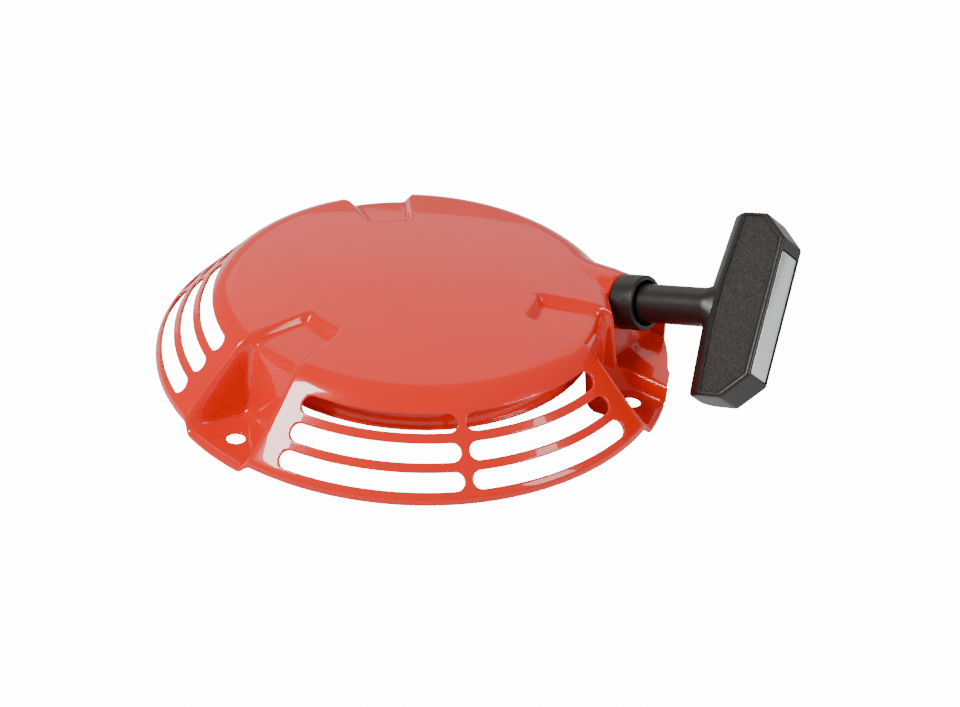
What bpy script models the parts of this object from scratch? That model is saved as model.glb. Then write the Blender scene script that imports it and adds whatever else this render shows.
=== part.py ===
"""Recoil starter for a small engine: pressed steel housing, rope reel with recoil spring,
two-pawl ratchet and pull grip. Metres, +Z away from the engine, origin on the crank axis
in the plane of the three mounting feet. The rope leaves towards +X."""
import math

import bpy
from mathutils import Matrix, Vector

MM = 0.001
GAP = 0.3                      # clearance kept between touching pieces

# Housing (outer surface, millimetres)
SHEET = 1.2
APEX_Z = 38.6
CROWN_DROP = 2.2               # fall of the crown at CROWN_R
CROWN_R = 48.7
SHOULDER_R = 69.0
SHOULDER_END_R = 79.0
CONE_R, CONE_Z, CONE_SLOPE = 82.4, 25.5, 1.05
RIM_R = 102.0
RIM_BOTTOM_Z = 2.1

# Three feet, 120 degrees apart
FOOT_AZIMUTHS = (19.5, 139.5, 259.5)
FOOT_TOP_HALF = 10.5           # half angle of a foot at its upper edges, degrees
FOOT_FLOOR_HALF = 8.6
FOOT_R = 103.0
FOOT_LIP_Z = -1.5
BOLT_PITCH_R = 90.5
BOLT_HOLE_R = 3.6

# Cooling vents: three rows, two columns between each pair of feet
VENT_ROWS_R = (82.4, 90.0, 97.5)
VENT_HALF_WIDTH = 3.6
VENT_TIP_ANGLE = 17.2          # from a foot's centre line to the slot's tip, degrees
VENT_BRIDGE = 3.3

# Rope outlet: a pressed channel ending in a flat wall square to the pull direction
PULL_ELEVATION = math.radians(18.9)
COLLAR_FACE = Vector((71.7, 57.7, 28.1))
COLLAR_LENGTH = 10.5
COLLAR_RECESS = 9.0            # depth of the seat for the grip's nose
SPIGOT_LENGTH = 4.5            # of the guide, through the outlet wall
COLLAR_R = 11.1
CHANNEL_R = 13.0
CHANNEL_AXIS_Z = 22.0
POCKET_FLOOR_Z = 7.5           # pocket in front of the wall, which makes room for the guide
POCKET_CORNER_R = 80.0         # where the pocket's near wall meets the first foot's drop wall
POCKET_CORNER_AZIMUTH = 29.6
ROPE_R = 2.0

# Reel, spring and ratchet
REEL_FLANGE_R = 66.0
REEL_CORE_R = 51.6
GROOVE_Z = (14.1, 23.6)
SPRING_Z = (23.2, 34.2)
POST_R = 8.0
PAWL_PIVOT_R = 24.0
PAWL_SWING = math.radians(30.0)
GUIDE_TURN = math.radians(25.0)
PAWL_PEG = Vector((-1.0, -8.0, 0.0))   # from the pivot
PAWL_PEG_R = 1.5

# Pull grip: distances along the pull direction from the collar's face
STEM_R = 7.75
NOSE_S = -7.0
BAR_INNER_S = 33.0
BAR_OUTER_S = 60.1
BAR_CHAMFER = 10.4
BAR_HALF = 38.0
BAR_FACE_HALF = 28.4
BAR_HALF_THICK = 7.6
BAR_SLOPE = 5.0                # the broad faces fall away over this width on the inner side
BAR_SLOPE_THICK = 4.6          # half thickness at the foot of that slope
BAR_EDGE = 1.2
PLATE_HALF = (25.2, 5.6)
PLATE_OFFSET = -1.8            # of its middle along the bar
BAR_TURN = math.radians(45.0)  # of the bar about the pull direction

PULL = Vector((math.cos(PULL_ELEVATION), 0.0, math.sin(PULL_ELEVATION)))
SIDE = Vector((0.0, 1.0, 0.0))
LIFT = PULL.cross(SIDE)
BAR_ALONG = LIFT * math.cos(BAR_TURN) + SIDE * math.sin(BAR_TURN)
BAR_FACE = PULL.cross(BAR_ALONG)


def clear_scene():
    for obj in list(bpy.data.objects):
        bpy.data.objects.remove(obj)


def material(name, color, roughness, metallic=0.0):
    mat = bpy.data.materials.new(name)
    mat.use_nodes = True
    shader = mat.node_tree.nodes["Principled BSDF"]
    shader.inputs["Base Color"].default_value = (*color, 1.0)
    shader.inputs["Roughness"].default_value = roughness
    shader.inputs["Metallic"].default_value = metallic
    return mat


def make_object(name, points, faces, mat, smooth=True):
    """A named object from points in millimetres."""
    mesh = bpy.data.meshes.new(name)
    mesh.from_pydata([tuple(c * MM for c in p) for p in points], [], faces)
    mesh.validate()
    obj = bpy.data.objects.new(name, mesh)
    bpy.context.scene.collection.objects.link(obj)
    if mat is not None:
        mesh.materials.append(mat)
    if smooth:
        mesh.shade_smooth()
        mesh.set_sharp_from_angle(angle=math.radians(35.0))
    return obj


def polar(radius, degrees, z=0.0):
    a = math.radians(degrees)
    return Vector((radius * math.cos(a), radius * math.sin(a), z))


def turned(name, profile, mat, segments=48):
    """A ring turned about Z from a closed outline of (r, z), anticlockwise with r to the right."""
    count = len(profile)
    points = []
    for k in range(segments):
        for r, z in profile:
            points.append(polar(r, 360.0 * k / segments, z))
    faces = []
    for k in range(segments):
        here, there = k * count, (k + 1) % segments * count
        for j in range(count):
            nxt = (j + 1) % count
            faces.append((here + j, there + j, there + nxt, here + nxt))
    return make_object(name, points, faces, mat)


def turned_solid(name, profile, mat, segments=32):
    """A solid turned about Z: (r, z) from the lowest point on the axis up to the highest one,
    both axis points left out of the profile and given by its first and last z."""
    count = len(profile)
    points = []
    for k in range(segments):
        for r, z in profile:
            points.append(polar(r, 360.0 * k / segments, z))
    low, high = len(points), len(points) + 1
    points.append(Vector((0.0, 0.0, profile[0][1])))
    points.append(Vector((0.0, 0.0, profile[-1][1])))
    faces = []
    for k in range(segments):
        here, there = k * count, (k + 1) % segments * count
        for j in range(count - 1):
            faces.append((here + j, there + j, there + j + 1, here + j + 1))
        faces.append((low, there, here))
        faces.append((high, here + count - 1, there + count - 1))
    return make_object(name, points, faces, mat)


def prism(name, outline, bottom, top, mat, smooth=False):
    """A flat outline, anticlockwise from above, extruded from bottom to top."""
    count = len(outline)
    points = [Vector((p[0], p[1], bottom)) for p in outline]
    points += [Vector((p[0], p[1], top)) for p in outline]
    faces = [tuple(range(count - 1, -1, -1)), tuple(range(count, 2 * count))]
    for j in range(count):
        nxt = (j + 1) % count
        faces.append((j, nxt, count + nxt, count + j))
    return make_object(name, points, faces, mat, smooth)


def tube(name, path, radius, mat, sides=8):
    """A round bar along a smooth path of points, closed by its end discs."""
    points, faces = [], []
    reference = Vector((0.0, 0.0, 1.0))
    for i, p in enumerate(path):
        ahead = path[min(i + 1, len(path) - 1)] - path[max(i - 1, 0)]
        ahead.normalize()
        across = ahead.cross(reference)
        if across.length < 0.05:
            across = ahead.cross(Vector((0.0, 1.0, 0.0)))
        across.normalize()
        reference = across.cross(ahead)
        for k in range(sides):
            a = 2.0 * math.pi * k / sides
            points.append(p + reference * (radius * math.cos(a)) + across * (radius * math.sin(a)))
    for i in range(len(path) - 1):
        for k in range(sides):
            nxt = (k + 1) % sides
            faces.append((i * sides + k, i * sides + nxt, (i + 1) * sides + nxt, (i + 1) * sides + k))
    last = (len(path) - 1) * sides
    faces.append(tuple(range(sides - 1, -1, -1)))
    faces.append(tuple(range(last, last + sides)))
    return make_object(name, points, faces, mat)


def hide_tool(obj):
    obj.hide_render = True
    obj.display_type = "WIRE"


def boolean(target, tool, operation):
    """Cut the tool from the target, or join it on, with an exact Boolean."""
    mod = target.modifiers.new(operation.title() + "_" + tool.name, "BOOLEAN")
    mod.operation = operation
    mod.object = tool
    mod.solver = "EXACT"
    hide_tool(tool)


def place_along_pull(obj, distance):
    """Stand a piece turned about Z on the pull line, its Z along the pull direction."""
    turn = Matrix((-LIFT, SIDE, PULL)).transposed()
    origin = (COLLAR_FACE + PULL * distance) * MM
    obj.matrix_world = Matrix.Translation(origin) @ turn.to_4x4()


def pull_point(s, t=0.0, n=0.0):
    """A point given along the pull line, along the bar and out of its broad face."""
    return COLLAR_FACE + PULL * s + BAR_ALONG * t + BAR_FACE * n


# ---------------------------------------------------------------- housing

def crown_z(r):
    return APEX_Z - CROWN_DROP * (r / CROWN_R) ** 2


def cone_z(r):
    return CONE_Z - CONE_SLOPE * (r - CONE_R)


def skirt_profile():
    """Outer surface between the feet: crown, shoulder curve, cone and turned-down rim."""
    profile = [(r, crown_z(r)) for r in (16.0, 32.0, 47.5, 51.0, 60.0, SHOULDER_R)]
    start = Vector((SHOULDER_R, crown_z(SHOULDER_R)))
    end = Vector((SHOULDER_END_R, cone_z(SHOULDER_END_R)))
    knee = Vector((74.8, cone_z(74.8)))
    for u in (0.34, 0.67):
        p = start * (1 - u) ** 2 + knee * (2 * u * (1 - u)) + end * u ** 2
        profile.append((p.x, p.y))
    profile.append((end.x, end.y))
    profile += [(90.0, cone_z(90.0)), (101.2, cone_z(101.2))]
    profile += [(RIM_R, cone_z(RIM_R) - 0.4), (RIM_R, RIM_BOTTOM_Z)]
    return profile


def foot_profile():
    """Outer surface through a foot: shallow recess in the crown, drop wall, plate and lip."""
    profile = [(r, crown_z(r)) for r in (16.0, 32.0, 47.5)]
    profile += [(51.0, 32.8), (60.0, 32.0), (70.0, 31.0)]
    profile += [(72.6, 29.9), (73.8, 27.0), (76.4, 3.4), (79.0, SHEET), (101.4, SHEET)]
    profile += [(FOOT_R, SHEET - 1.2), (FOOT_R, FOOT_LIP_Z)]
    return profile


def housing_azimuths():
    """Directions of the surface's radial lines, close together at the feet's side walls."""
    angles = []
    for foot in FOOT_AZIMUTHS:
        for offset in (-FOOT_TOP_HALF, -FOOT_FLOOR_HALF, -3.0, 3.0, FOOT_FLOOR_HALF, FOOT_TOP_HALF):
            angles.append((foot + offset, 1.0 if abs(offset) <= FOOT_FLOOR_HALF else 0.0))
        spread = 120.0 - 2.0 * FOOT_TOP_HALF
        for k in range(1, 18):
            angles.append((foot + FOOT_TOP_HALF + spread * k / 18.0, 0.0))
    return angles


def housing_shell(mat):
    skirt, foot = skirt_profile(), foot_profile()
    angles = housing_azimuths()
    rows = len(skirt)
    points = [Vector((0.0, 0.0, APEX_Z))]
    for angle, weight in angles:
        for (rs, zs), (rf, zf) in zip(skirt, foot):
            points.append(polar(rs + (rf - rs) * weight, angle, zs + (zf - zs) * weight))
    faces = []
    for k in range(len(angles)):
        here, there = 1 + k * rows, 1 + (k + 1) % len(angles) * rows
        faces.append((0, here, there))
        for j in range(rows - 1):
            faces.append((here + j, here + j + 1, there + j + 1, there + j))
    shell = make_object("case", points, faces, mat)
    wall = shell.modifiers.new("Sheet", "SOLIDIFY")
    wall.thickness = SHEET * MM
    wall.offset = -1.0
    wall.use_even_offset = True
    return shell


def vent_cutter(name, radius, start, end):
    """A slot's cutter: a bent, round-ended bar square to the cone, between two azimuths."""
    along = Vector((1.0, -CONE_SLOPE)).normalized()
    outward = Vector((CONE_SLOPE, 1.0)).normalized()
    tip = math.degrees(VENT_HALF_WIDTH / radius)
    outline = []
    for k in range(7):
        outline.append((start + tip + (end - start - 2 * tip) * k / 6.0, VENT_HALF_WIDTH))
    for k in range(1, 6):
        a = math.pi / 2 - math.pi * k / 6.0
        outline.append((end - tip + tip * math.cos(a), VENT_HALF_WIDTH * math.sin(a)))
    for k in range(7):
        outline.append((end - tip - (end - start - 2 * tip) * k / 6.0, -VENT_HALF_WIDTH))
    for k in range(1, 6):
        a = -math.pi / 2 - math.pi * k / 6.0
        outline.append((start + tip + tip * math.cos(a), VENT_HALF_WIDTH * math.sin(a)))
    count = len(outline)
    points = []
    for depth in (-4.0, 4.0):
        for angle, down in outline:
            r = radius + along.x * down + outward.x * depth
            z = cone_z(radius) + along.y * down + outward.y * depth
            points.append(polar(r, angle, z))
    faces = [tuple(range(count - 1, -1, -1)), tuple(range(count, 2 * count))]
    for j in range(count):
        nxt = (j + 1) % count
        faces.append((j, nxt, count + nxt, count + j))
    return make_object(name, points, faces, None, False)


def vent_columns():
    """Start and end azimuth of each column of slots, one pair between two neighbouring feet."""
    columns = []
    for foot in FOOT_AZIMUTHS:
        first, middle, last = foot + VENT_TIP_ANGLE, foot + 60.0, foot + 120.0 - VENT_TIP_ANGLE
        if foot == FOOT_AZIMUTHS[0]:
            first = foot + 37.0        # the rope outlet takes the room before this
        columns += [(first, middle, "end"), (middle, last, "start")]
    return columns


def cut_vents(shell):
    for c, (start, end, bridge_side) in enumerate(vent_columns()):
        for row, radius in enumerate(VENT_ROWS_R):
            half_bridge = math.degrees(0.5 * VENT_BRIDGE / radius)
            low = start + (half_bridge if bridge_side == "start" else 0.0)
            high = end - (half_bridge if bridge_side == "end" else 0.0)
            boolean(shell, vent_cutter("vent_tool_%d_%d" % (c, row), radius, low, high), "DIFFERENCE")


def outlet_wall_x(z, setback=0.0):
    """X of the outlet's flat wall at a height; the wall is square to the pull direction."""
    face = COLLAR_FACE - PULL * (COLLAR_LENGTH + GAP + setback)
    return face.x - (z - face.z) * PULL.z / PULL.x


def channel_block(name, radius, back_x, setback, bottom):
    """The rope channel's body: round-topped, running along X up to the tilted outlet wall."""
    section = [(-radius, bottom), (radius, bottom)]
    for k in range(0, 11):
        a = math.pi * k / 10.0
        section.append((radius * math.cos(a), CHANNEL_AXIS_Z + radius * math.sin(a)))
    count = len(section)
    points = [Vector((back_x, COLLAR_FACE.y + y, z)) for y, z in section]
    points += [Vector((outlet_wall_x(z, setback), COLLAR_FACE.y + y, z)) for y, z in section]
    faces = [tuple(range(count - 1, -1, -1)), tuple(range(count, 2 * count))]
    for j in range(count):
        nxt = (j + 1) % count
        faces.append((j, nxt, count + nxt, count + j))
    return make_object(name, points, faces, None, False)


def block(name, low_outline, high_outline):
    """A solid between two outlines of 3D points, anticlockwise seen from above."""
    count = len(low_outline)
    faces = [tuple(range(count - 1, -1, -1)), tuple(range(count, 2 * count))]
    for j in range(count):
        nxt = (j + 1) % count
        faces.append((j, nxt, count + nxt, count + j))
    points = [Vector(p) for p in low_outline + high_outline]
    return make_object(name, points, faces, None, False)


def cylinder_tool(name, radius, length, segments=24):
    return turned_solid(name, [(radius, 0.0), (radius, length)], None, segments)


def add_outlet(shell):
    """The rope channel, and in front of it a pocket that makes room for the guide."""
    floor, top = POCKET_FLOOR_Z, 50.0
    near_y, far_y = COLLAR_FACE.y - CHANNEL_R + 0.4, COLLAR_FACE.y + CHANNEL_R
    corner = polar(POCKET_CORNER_R, POCKET_CORNER_AZIMUTH)
    channel = channel_block("channel_outer_tool", CHANNEL_R, 30.0, -0.6, floor - SHEET)
    inside = cylinder_tool("channel_inside_tool", 70.2, 41.0, 64)
    inside.location.z = -10.0 * MM
    boolean(channel, inside, "DIFFERENCE")
    boolean(shell, channel, "UNION")
    inner = channel_block("channel_inner_tool", CHANNEL_R - SHEET, 20.0, SHEET, floor - 3.0)
    boolean(shell, inner, "DIFFERENCE")

    # Sheet left round the pocket: its floor, the short wall to the foot and the far side wall
    slab = [(outlet_wall_x(floor, SHEET), near_y - SHEET), (corner.x - SHEET, corner.y - 0.4)]
    slab += [tuple(polar(99.7, a)[:2]) for a in (29.0, 33.0, 37.0, 41.0, 45.0)]
    slab += [(69.5, far_y + SHEET), (outlet_wall_x(floor, SHEET), far_y + SHEET)]
    boolean(shell, block("pocket_floor_tool", [(x, y, floor - SHEET) for x, y in slab],
                         [(x, y, floor) for x, y in slab]), "UNION")
    inside, outside = outlet_wall_x(floor, SHEET), outlet_wall_x(30.0, SHEET)
    near = [(inside, near_y - SHEET), (corner.x - SHEET, corner.y - 0.4), (corner.x, corner.y + 1.0),
            (inside, near_y + 0.6)]
    high = [(outside, near_y - SHEET, 33.0), (corner.x - SHEET, corner.y - 0.4, 28.6),
            (corner.x, corner.y + 1.0, 28.0), (outside, near_y + 0.6, 32.6)]
    boolean(shell, block("near_wall_tool", [(x, y, floor - 0.6) for x, y in near], high), "UNION")
    far = [(inside, far_y - 0.2), (68.5, far_y - 0.2), (68.5, far_y + SHEET), (inside, far_y + SHEET)]
    high = [(x, y, min(cone_z(math.hypot(x, y)) - 0.5, 40.0)) for x, y in far]
    boolean(shell, block("far_wall_tool", [(x, y, floor - 0.6) for x, y in far], high), "UNION")

    outer = polar(104.0, FOOT_AZIMUTHS[0] + FOOT_FLOOR_HALF - 0.6)
    plan = [(None, near_y), (corner.x, corner.y), (outer.x, outer.y), (96.0, 52.0), (96.0, far_y),
            (None, far_y)]
    low = [(outlet_wall_x(floor) if x is None else x, y, floor) for x, y in plan]
    high = [(outlet_wall_x(top) if x is None else x, y, top) for x, y in plan]
    boolean(shell, block("pocket_tool", low, high), "DIFFERENCE")
    hole = cylinder_tool("outlet_hole_tool", 6.9, 14.0)
    place_along_pull(hole, -COLLAR_LENGTH - 9.0)
    boolean(shell, hole, "DIFFERENCE")


def drill_feet(shell):
    for index, azimuth in enumerate(FOOT_AZIMUTHS):
        drill = cylinder_tool("bolt_tool_%d" % index, BOLT_HOLE_R, 10.0)
        drill.location = polar(BOLT_PITCH_R, azimuth, -4.0) * MM
        boolean(shell, drill, "DIFFERENCE")


def build_housing(paint, steel, plastic):
    shell = housing_shell(paint)
    add_outlet(shell)
    cut_vents(shell)
    drill_feet(shell)

    cup = turned("inner_cup", [(62.0, 25.9), (70.4, 25.9), (70.4, 17.0), (70.4, 15.3), (72.6, 15.3),
                               (72.6, 16.4), (71.6, 17.0), (71.6, 27.1), (62.0, 27.1)], paint, 60)
    outlet_side = [(30, 50.5), (52, 40.5), (72, 40.5), (72, 70), (30, 70)]
    window = prism("cup_window_tool", outlet_side, 10.0, 30.0, None)
    boolean(cup, window, "DIFFERENCE")

    post = turned("centre_post", [(3.3, 12.0), (POST_R, 12.0), (POST_R, 34.8), (17.0, 34.8),
                                  (17.0, 36.6), (3.3, 36.6)], steel, 32)
    slot = prism("post_slot_tool", [(3.6, -0.7), (9, -0.7), (9, 0.7), (3.6, 0.7)], 22.0, 34.5, None)
    boolean(post, slot, "DIFFERENCE")

    turned("thrust_washer", [(3.4, 10.9), (13.0, 10.9), (13.0, 11.6), (3.4, 11.6)], steel, 32)
    seat = COLLAR_LENGTH - COLLAR_RECESS
    collar = turned("rope_guide", [(2.9, -SPIGOT_LENGTH), (6.5, -SPIGOT_LENGTH), (6.5, 0.0),
                                   (COLLAR_R, 0.0), (COLLAR_R, COLLAR_LENGTH - 0.8),
                                   (COLLAR_R - 0.8, COLLAR_LENGTH), (9.0, COLLAR_LENGTH),
                                   (8.4, seat), (2.9, seat)], plastic, 40)
    place_along_pull(collar, -COLLAR_LENGTH)


# ---------------------------------------------------------------- reel and ratchet

def build_reel(dark_plastic, steel, spring_steel, rope):
    low, high = GROOVE_Z
    outline = [(9.3, 11.9), (14.0, 11.9), (14.0, 20.0), (49.5, 20.0), (49.5, low - 1.6),
               (REEL_FLANGE_R, low - 1.6), (REEL_FLANGE_R, low), (REEL_CORE_R, low),
               (REEL_CORE_R, high), (REEL_FLANGE_R, high), (REEL_FLANGE_R, high + 1.6),
               (38.0, high + 1.6), (38.0, 35.0), (36.0, 35.0), (36.0, 22.6), (9.3, 22.6)]
    reel = turned("rope_reel", outline, dark_plastic, 60)
    for side in (0, 1):
        drill = cylinder_tool("pin_hole_tool_%d" % side, 2.5 + GAP, 8.0, 16)
        drill.location = polar(PAWL_PIVOT_R, 180.0 * side, 17.0) * MM
        drill.rotation_euler.z = math.radians(7.0)
        boolean(reel, drill, "DIFFERENCE")

    turned("reel_bush", [(POST_R + 0.1, 12.2), (9.0, 12.2), (9.0, 22.4), (POST_R + 0.1, 22.4)],
           steel, 32)
    turned("rope_winding", [(REEL_CORE_R + GAP, low + 0.5), (59.3, low + 0.5), (59.3, high - 0.5),
                            (REEL_CORE_R + GAP, high - 0.5)], rope, 60)
    knot = turned_solid("reel_knot", [(2.6, -3.4), (3.7, -1.6), (3.7, 1.6), (2.6, 3.4)], rope, 12)
    knot.location = polar(45.0, 200.0, 16.0) * MM
    build_recoil_spring(spring_steel)


def build_recoil_spring(mat):
    """A strip wound as a spiral from the post out to the drum's wall."""
    turns, steps, thick = 5, 22, 0.9
    inner_r, outer_r = POST_R + 0.8, 35.1
    inner_side, outer_side = [], []
    for k in range(turns * steps + 1):
        share = k / (turns * steps)
        r = inner_r + (outer_r - inner_r) * share
        angle = 360.0 * k / steps
        inner_side.append(polar(r, angle))
        outer_side.append(polar(r + thick, angle))
    prism("recoil_spring", outer_side + inner_side[::-1], *SPRING_Z, mat)


def pawl_outline():
    """Seen from above with the pivot at the origin: round heel, arm and hooked tip."""
    outline = [polar(5.4, 10.0 + 20.0 * k) for k in range(10)]
    outline += [Vector((-6.6, -10.0, 0)), Vector((-6.2, -14.5, 0)), Vector((-2.6, -17.6, 0)),
                Vector((0.8, -16.6, 0)), Vector((2.2, -10.0, 0))]
    return outline


def build_pawls(steel, spring_steel):
    for side in (0, 1):
        turn = Matrix.Rotation(math.pi * side, 4, "Z")
        origin = polar(PAWL_PIVOT_R, 180.0 * side) * MM
        pawl = prism("pawl_%d" % (side + 1), pawl_outline(), 13.4, 18.4, steel)
        pawl.matrix_world = Matrix.Translation(origin) @ turn
        bore = cylinder_tool("pawl_bore_tool_%d" % side, 2.5 + GAP, 10.0, 16)
        bore.matrix_world = Matrix.Translation(origin + Vector((0, 0, 0.011)))
        boolean(pawl, bore, "DIFFERENCE")
        peg = cylinder_tool("pawl_peg_tool_%d" % side, PAWL_PEG_R, 6.0, 12)
        peg.matrix_world = pawl.matrix_world @ Matrix.Translation(
            (PAWL_PEG + Vector((0, 0, 8.2))) * MM)
        boolean(pawl, peg, "UNION")

        pin = turned_solid("pawl_pin_%d" % (side + 1), [(4.2, 12.1), (4.2, 13.1), (2.5, 13.1),
                                                        (2.5, 22.3)], steel, 20)
        pin.location = origin
        path = []
        for k in range(29):
            a = 360.0 * 1.6 * k / 28.0
            path.append(polar(3.9, a + 100.0, 18.85 + 0.75 * k / 28.0))
        path = [path[0] + Vector((6.0, 1.4, 0.0))] + path
        spring = tube("pawl_spring_%d" % (side + 1), path, 0.3, spring_steel, 5)
        spring.matrix_world = Matrix.Translation(origin) @ turn


def peg_path(side, steps=8):
    """The peg's way across the guide plate while the pawl swings out and the plate turns."""
    pivot = polar(PAWL_PIVOT_R, 180.0 * side)
    base = Matrix.Rotation(math.pi * side, 3, "Z")
    path = []
    for k in range(steps + 1):
        share = k / steps
        peg = pivot + base @ (Matrix.Rotation(PAWL_SWING * share, 3, "Z") @ PAWL_PEG)
        path.append(Matrix.Rotation(-GUIDE_TURN * share, 3, "Z") @ peg)
    return path


def slot_outline(path, half):
    """A round-ended outline at a constant distance from a path."""
    left, right = [], []
    for i, p in enumerate(path):
        ahead = (path[min(i + 1, len(path) - 1)] - path[max(i - 1, 0)]).normalized()
        across = Vector((-ahead.y, ahead.x, 0.0))
        left.append(p + across * half)
        right.append(p - across * half)
    caps = []
    for centre, start, towards in ((path[-1], right[-1], 1), (path[0], left[0], 1)):
        arm = start - centre
        caps.append([centre + Matrix.Rotation(towards * math.pi * k / 6, 3, "Z") @ arm
                     for k in range(1, 6)])
    return right + caps[0] + left[::-1] + caps[1]


def build_guide(steel, spring_steel):
    plate = turned("ratchet_guide", [(4.2, 8.6), (33.0, 8.6), (33.0, 10.6), (4.2, 10.6)], steel, 48)
    for side in (0, 1):
        outline = slot_outline(peg_path(side), PAWL_PEG_R + 0.4)
        boolean(plate, prism("guide_slot_tool_%d" % side, outline, 7.0, 13.0, None), "DIFFERENCE")
    path = [polar(6.4 + 1.6 * k / 42.0, 360.0 * 2.6 * k / 42.0, 6.4 + 1.4 * k / 42.0)
            for k in range(43)]
    tube("friction_spring", path, 0.45, spring_steel, 6)
    turned_solid("centre_screw", [(6.2, 0.0), (6.6, 0.5), (6.6, 4.0), (9.5, 4.0), (9.5, 5.6),
                                  (3.0, 5.6), (3.0, 29.0)], steel, 30)


# ---------------------------------------------------------------- rope and grip

def rope_route():
    """Centre line from the reel through the channel and guide to the grip's nose."""
    wall = COLLAR_FACE - PULL * COLLAR_LENGTH
    y = COLLAR_FACE.y
    knots = [Vector((23.0, y, 19.2)), Vector((34.0, y, 20.6)), Vector((46.0, y, 21.9)),
             wall - PULL * SPIGOT_LENGTH, wall, pull_point(-9.0), pull_point(NOSE_S - 0.5)]
    path = []
    for i in range(len(knots) - 1):
        before = knots[max(i - 1, 0)]
        after = knots[min(i + 2, len(knots) - 1)]
        for k in range(3):
            u = k / 3.0
            a, b = knots[i], knots[i + 1]
            path.append(0.5 * (2 * a + (b - before) * u + (2 * before - 5 * a + 4 * b - after) * u * u
                               + (3 * a - before - 3 * b + after) * u ** 3))
    path.append(knots[-1])
    return path


def bar_outline(inset, slope):
    """The bar's outline (s, t) at one level of its thickness, inset all round and sloped inside."""
    inner, outer = BAR_INNER_S + inset + slope, BAR_OUTER_S - inset
    half, face = BAR_HALF - inset, BAR_FACE_HALF
    chamfer = BAR_CHAMFER
    return [(inner, -9.0), (inner + 2.2, -half + 1.0), (inner + 3.2, -half),
            (outer - chamfer, -half), (outer, -face), (outer, face), (outer - chamfer, half),
            (inner + 3.2, half), (inner + 2.2, half - 1.0), (inner, 9.0)]


def build_grip(plastic, plate_metal, rope):
    edge, thick = BAR_EDGE, BAR_HALF_THICK
    upper = [(BAR_SLOPE_THICK, 0.0, 0.0), (thick - edge, 0.0, BAR_SLOPE - edge),
             (thick, edge, BAR_SLOPE - edge)]
    levels = [(-n, inset, slope) for n, inset, slope in upper[::-1]] + upper
    count = len(bar_outline(0.0, 0.0))
    points = []
    for n, inset, slope in levels:
        for s, t in bar_outline(inset, slope):
            points.append(pull_point(s, t, n))
    last = len(points) - 1
    faces = [tuple(range(count)), tuple(range(last, last - count, -1))]
    for level in range(len(levels) - 1):
        for j in range(count):
            nxt = (j + 1) % count
            low, high = level * count, (level + 1) * count
            faces.append((low + nxt, low + j, high + j, high + nxt))
    grip = make_object("grip", points, faces, plastic, False)

    stem_end = BAR_HALF_THICK - GAP
    stem = turned_solid("grip_stem_tool", [(STEM_R - 1.5, NOSE_S), (STEM_R, NOSE_S + 2.0),
                                           (STEM_R, BAR_INNER_S - 5.0), (stem_end, BAR_INNER_S),
                                           (stem_end, BAR_INNER_S + 9.0)], plastic, 28)
    place_along_pull(stem, 0.0)
    boolean(grip, stem, "UNION")
    bore = turned_solid("grip_bore_tool", [(2.5, NOSE_S - 2.0), (2.5, 44.0), (5.6, 44.0),
                                           (5.6, BAR_OUTER_S + 2.0)], None, 20)
    place_along_pull(bore, 0.0)
    boolean(grip, bore, "DIFFERENCE")
    recess = bar_plate("plate_recess_tool", BAR_OUTER_S - 1.3, BAR_OUTER_S + 2.0, GAP, None)
    boolean(grip, recess, "DIFFERENCE")
    bar_plate("grip_plate", BAR_OUTER_S - 1.0, BAR_OUTER_S - 0.2, 0.0, plate_metal)

    knot = turned_solid("grip_knot", [(2.8, 45.0), (4.6, 47.4), (4.6, 52.6), (2.8, 55.0)], rope, 14)
    place_along_pull(knot, 0.0)
    tube("grip_rope", [pull_point(s) for s in (NOSE_S + 0.1, 10.0, 27.0, 44.6)], ROPE_R, rope, 10)


def bar_plate(name, inner_s, outer_s, grow, mat):
    """A thin rectangle set in the bar's outer face."""
    half_t, half_n = PLATE_HALF[0] + grow, PLATE_HALF[1] + grow
    points = []
    for s in (inner_s, outer_s):
        for t, n in ((-half_t, -half_n), (half_t, -half_n), (half_t, half_n), (-half_t, half_n)):
            points.append(pull_point(s, PLATE_OFFSET + t, n))
    faces = [(3, 2, 1, 0), (4, 5, 6, 7), (0, 1, 5, 4), (1, 2, 6, 5), (2, 3, 7, 6), (3, 0, 4, 7)]
    return make_object(name, points, faces, mat, False)


def main():
    clear_scene()
    paint = material("red_paint", (0.80, 0.03, 0.015), 0.25)
    plastic = material("black_plastic", (0.02, 0.02, 0.02), 0.5)
    dark_plastic = material("reel_plastic", (0.05, 0.05, 0.055), 0.5)
    steel = material("zinc_steel", (0.55, 0.56, 0.58), 0.35, 1.0)
    spring_steel = material("spring_steel", (0.30, 0.31, 0.33), 0.35, 1.0)
    plate_metal = material("bright_plate", (0.75, 0.78, 0.78), 0.25, 1.0)
    rope = material("rope", (0.75, 0.74, 0.70), 0.8)
    build_housing(paint, steel, plastic)
    build_reel(dark_plastic, steel, spring_steel, rope)
    build_pawls(steel, spring_steel)
    build_guide(steel, spring_steel)
    tube("rope_run", rope_route(), ROPE_R, rope, 10)
    build_grip(plastic, plate_metal, rope)


main()
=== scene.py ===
"""Looks for a recoil starter: gloss red pressed housing, black nylon pull grip and rope guide,
reel, pawls and springs underneath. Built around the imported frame, in its own coordinates."""
import math

import bmesh
import bpy
import numpy as np
from mathutils import Matrix, Vector


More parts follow.
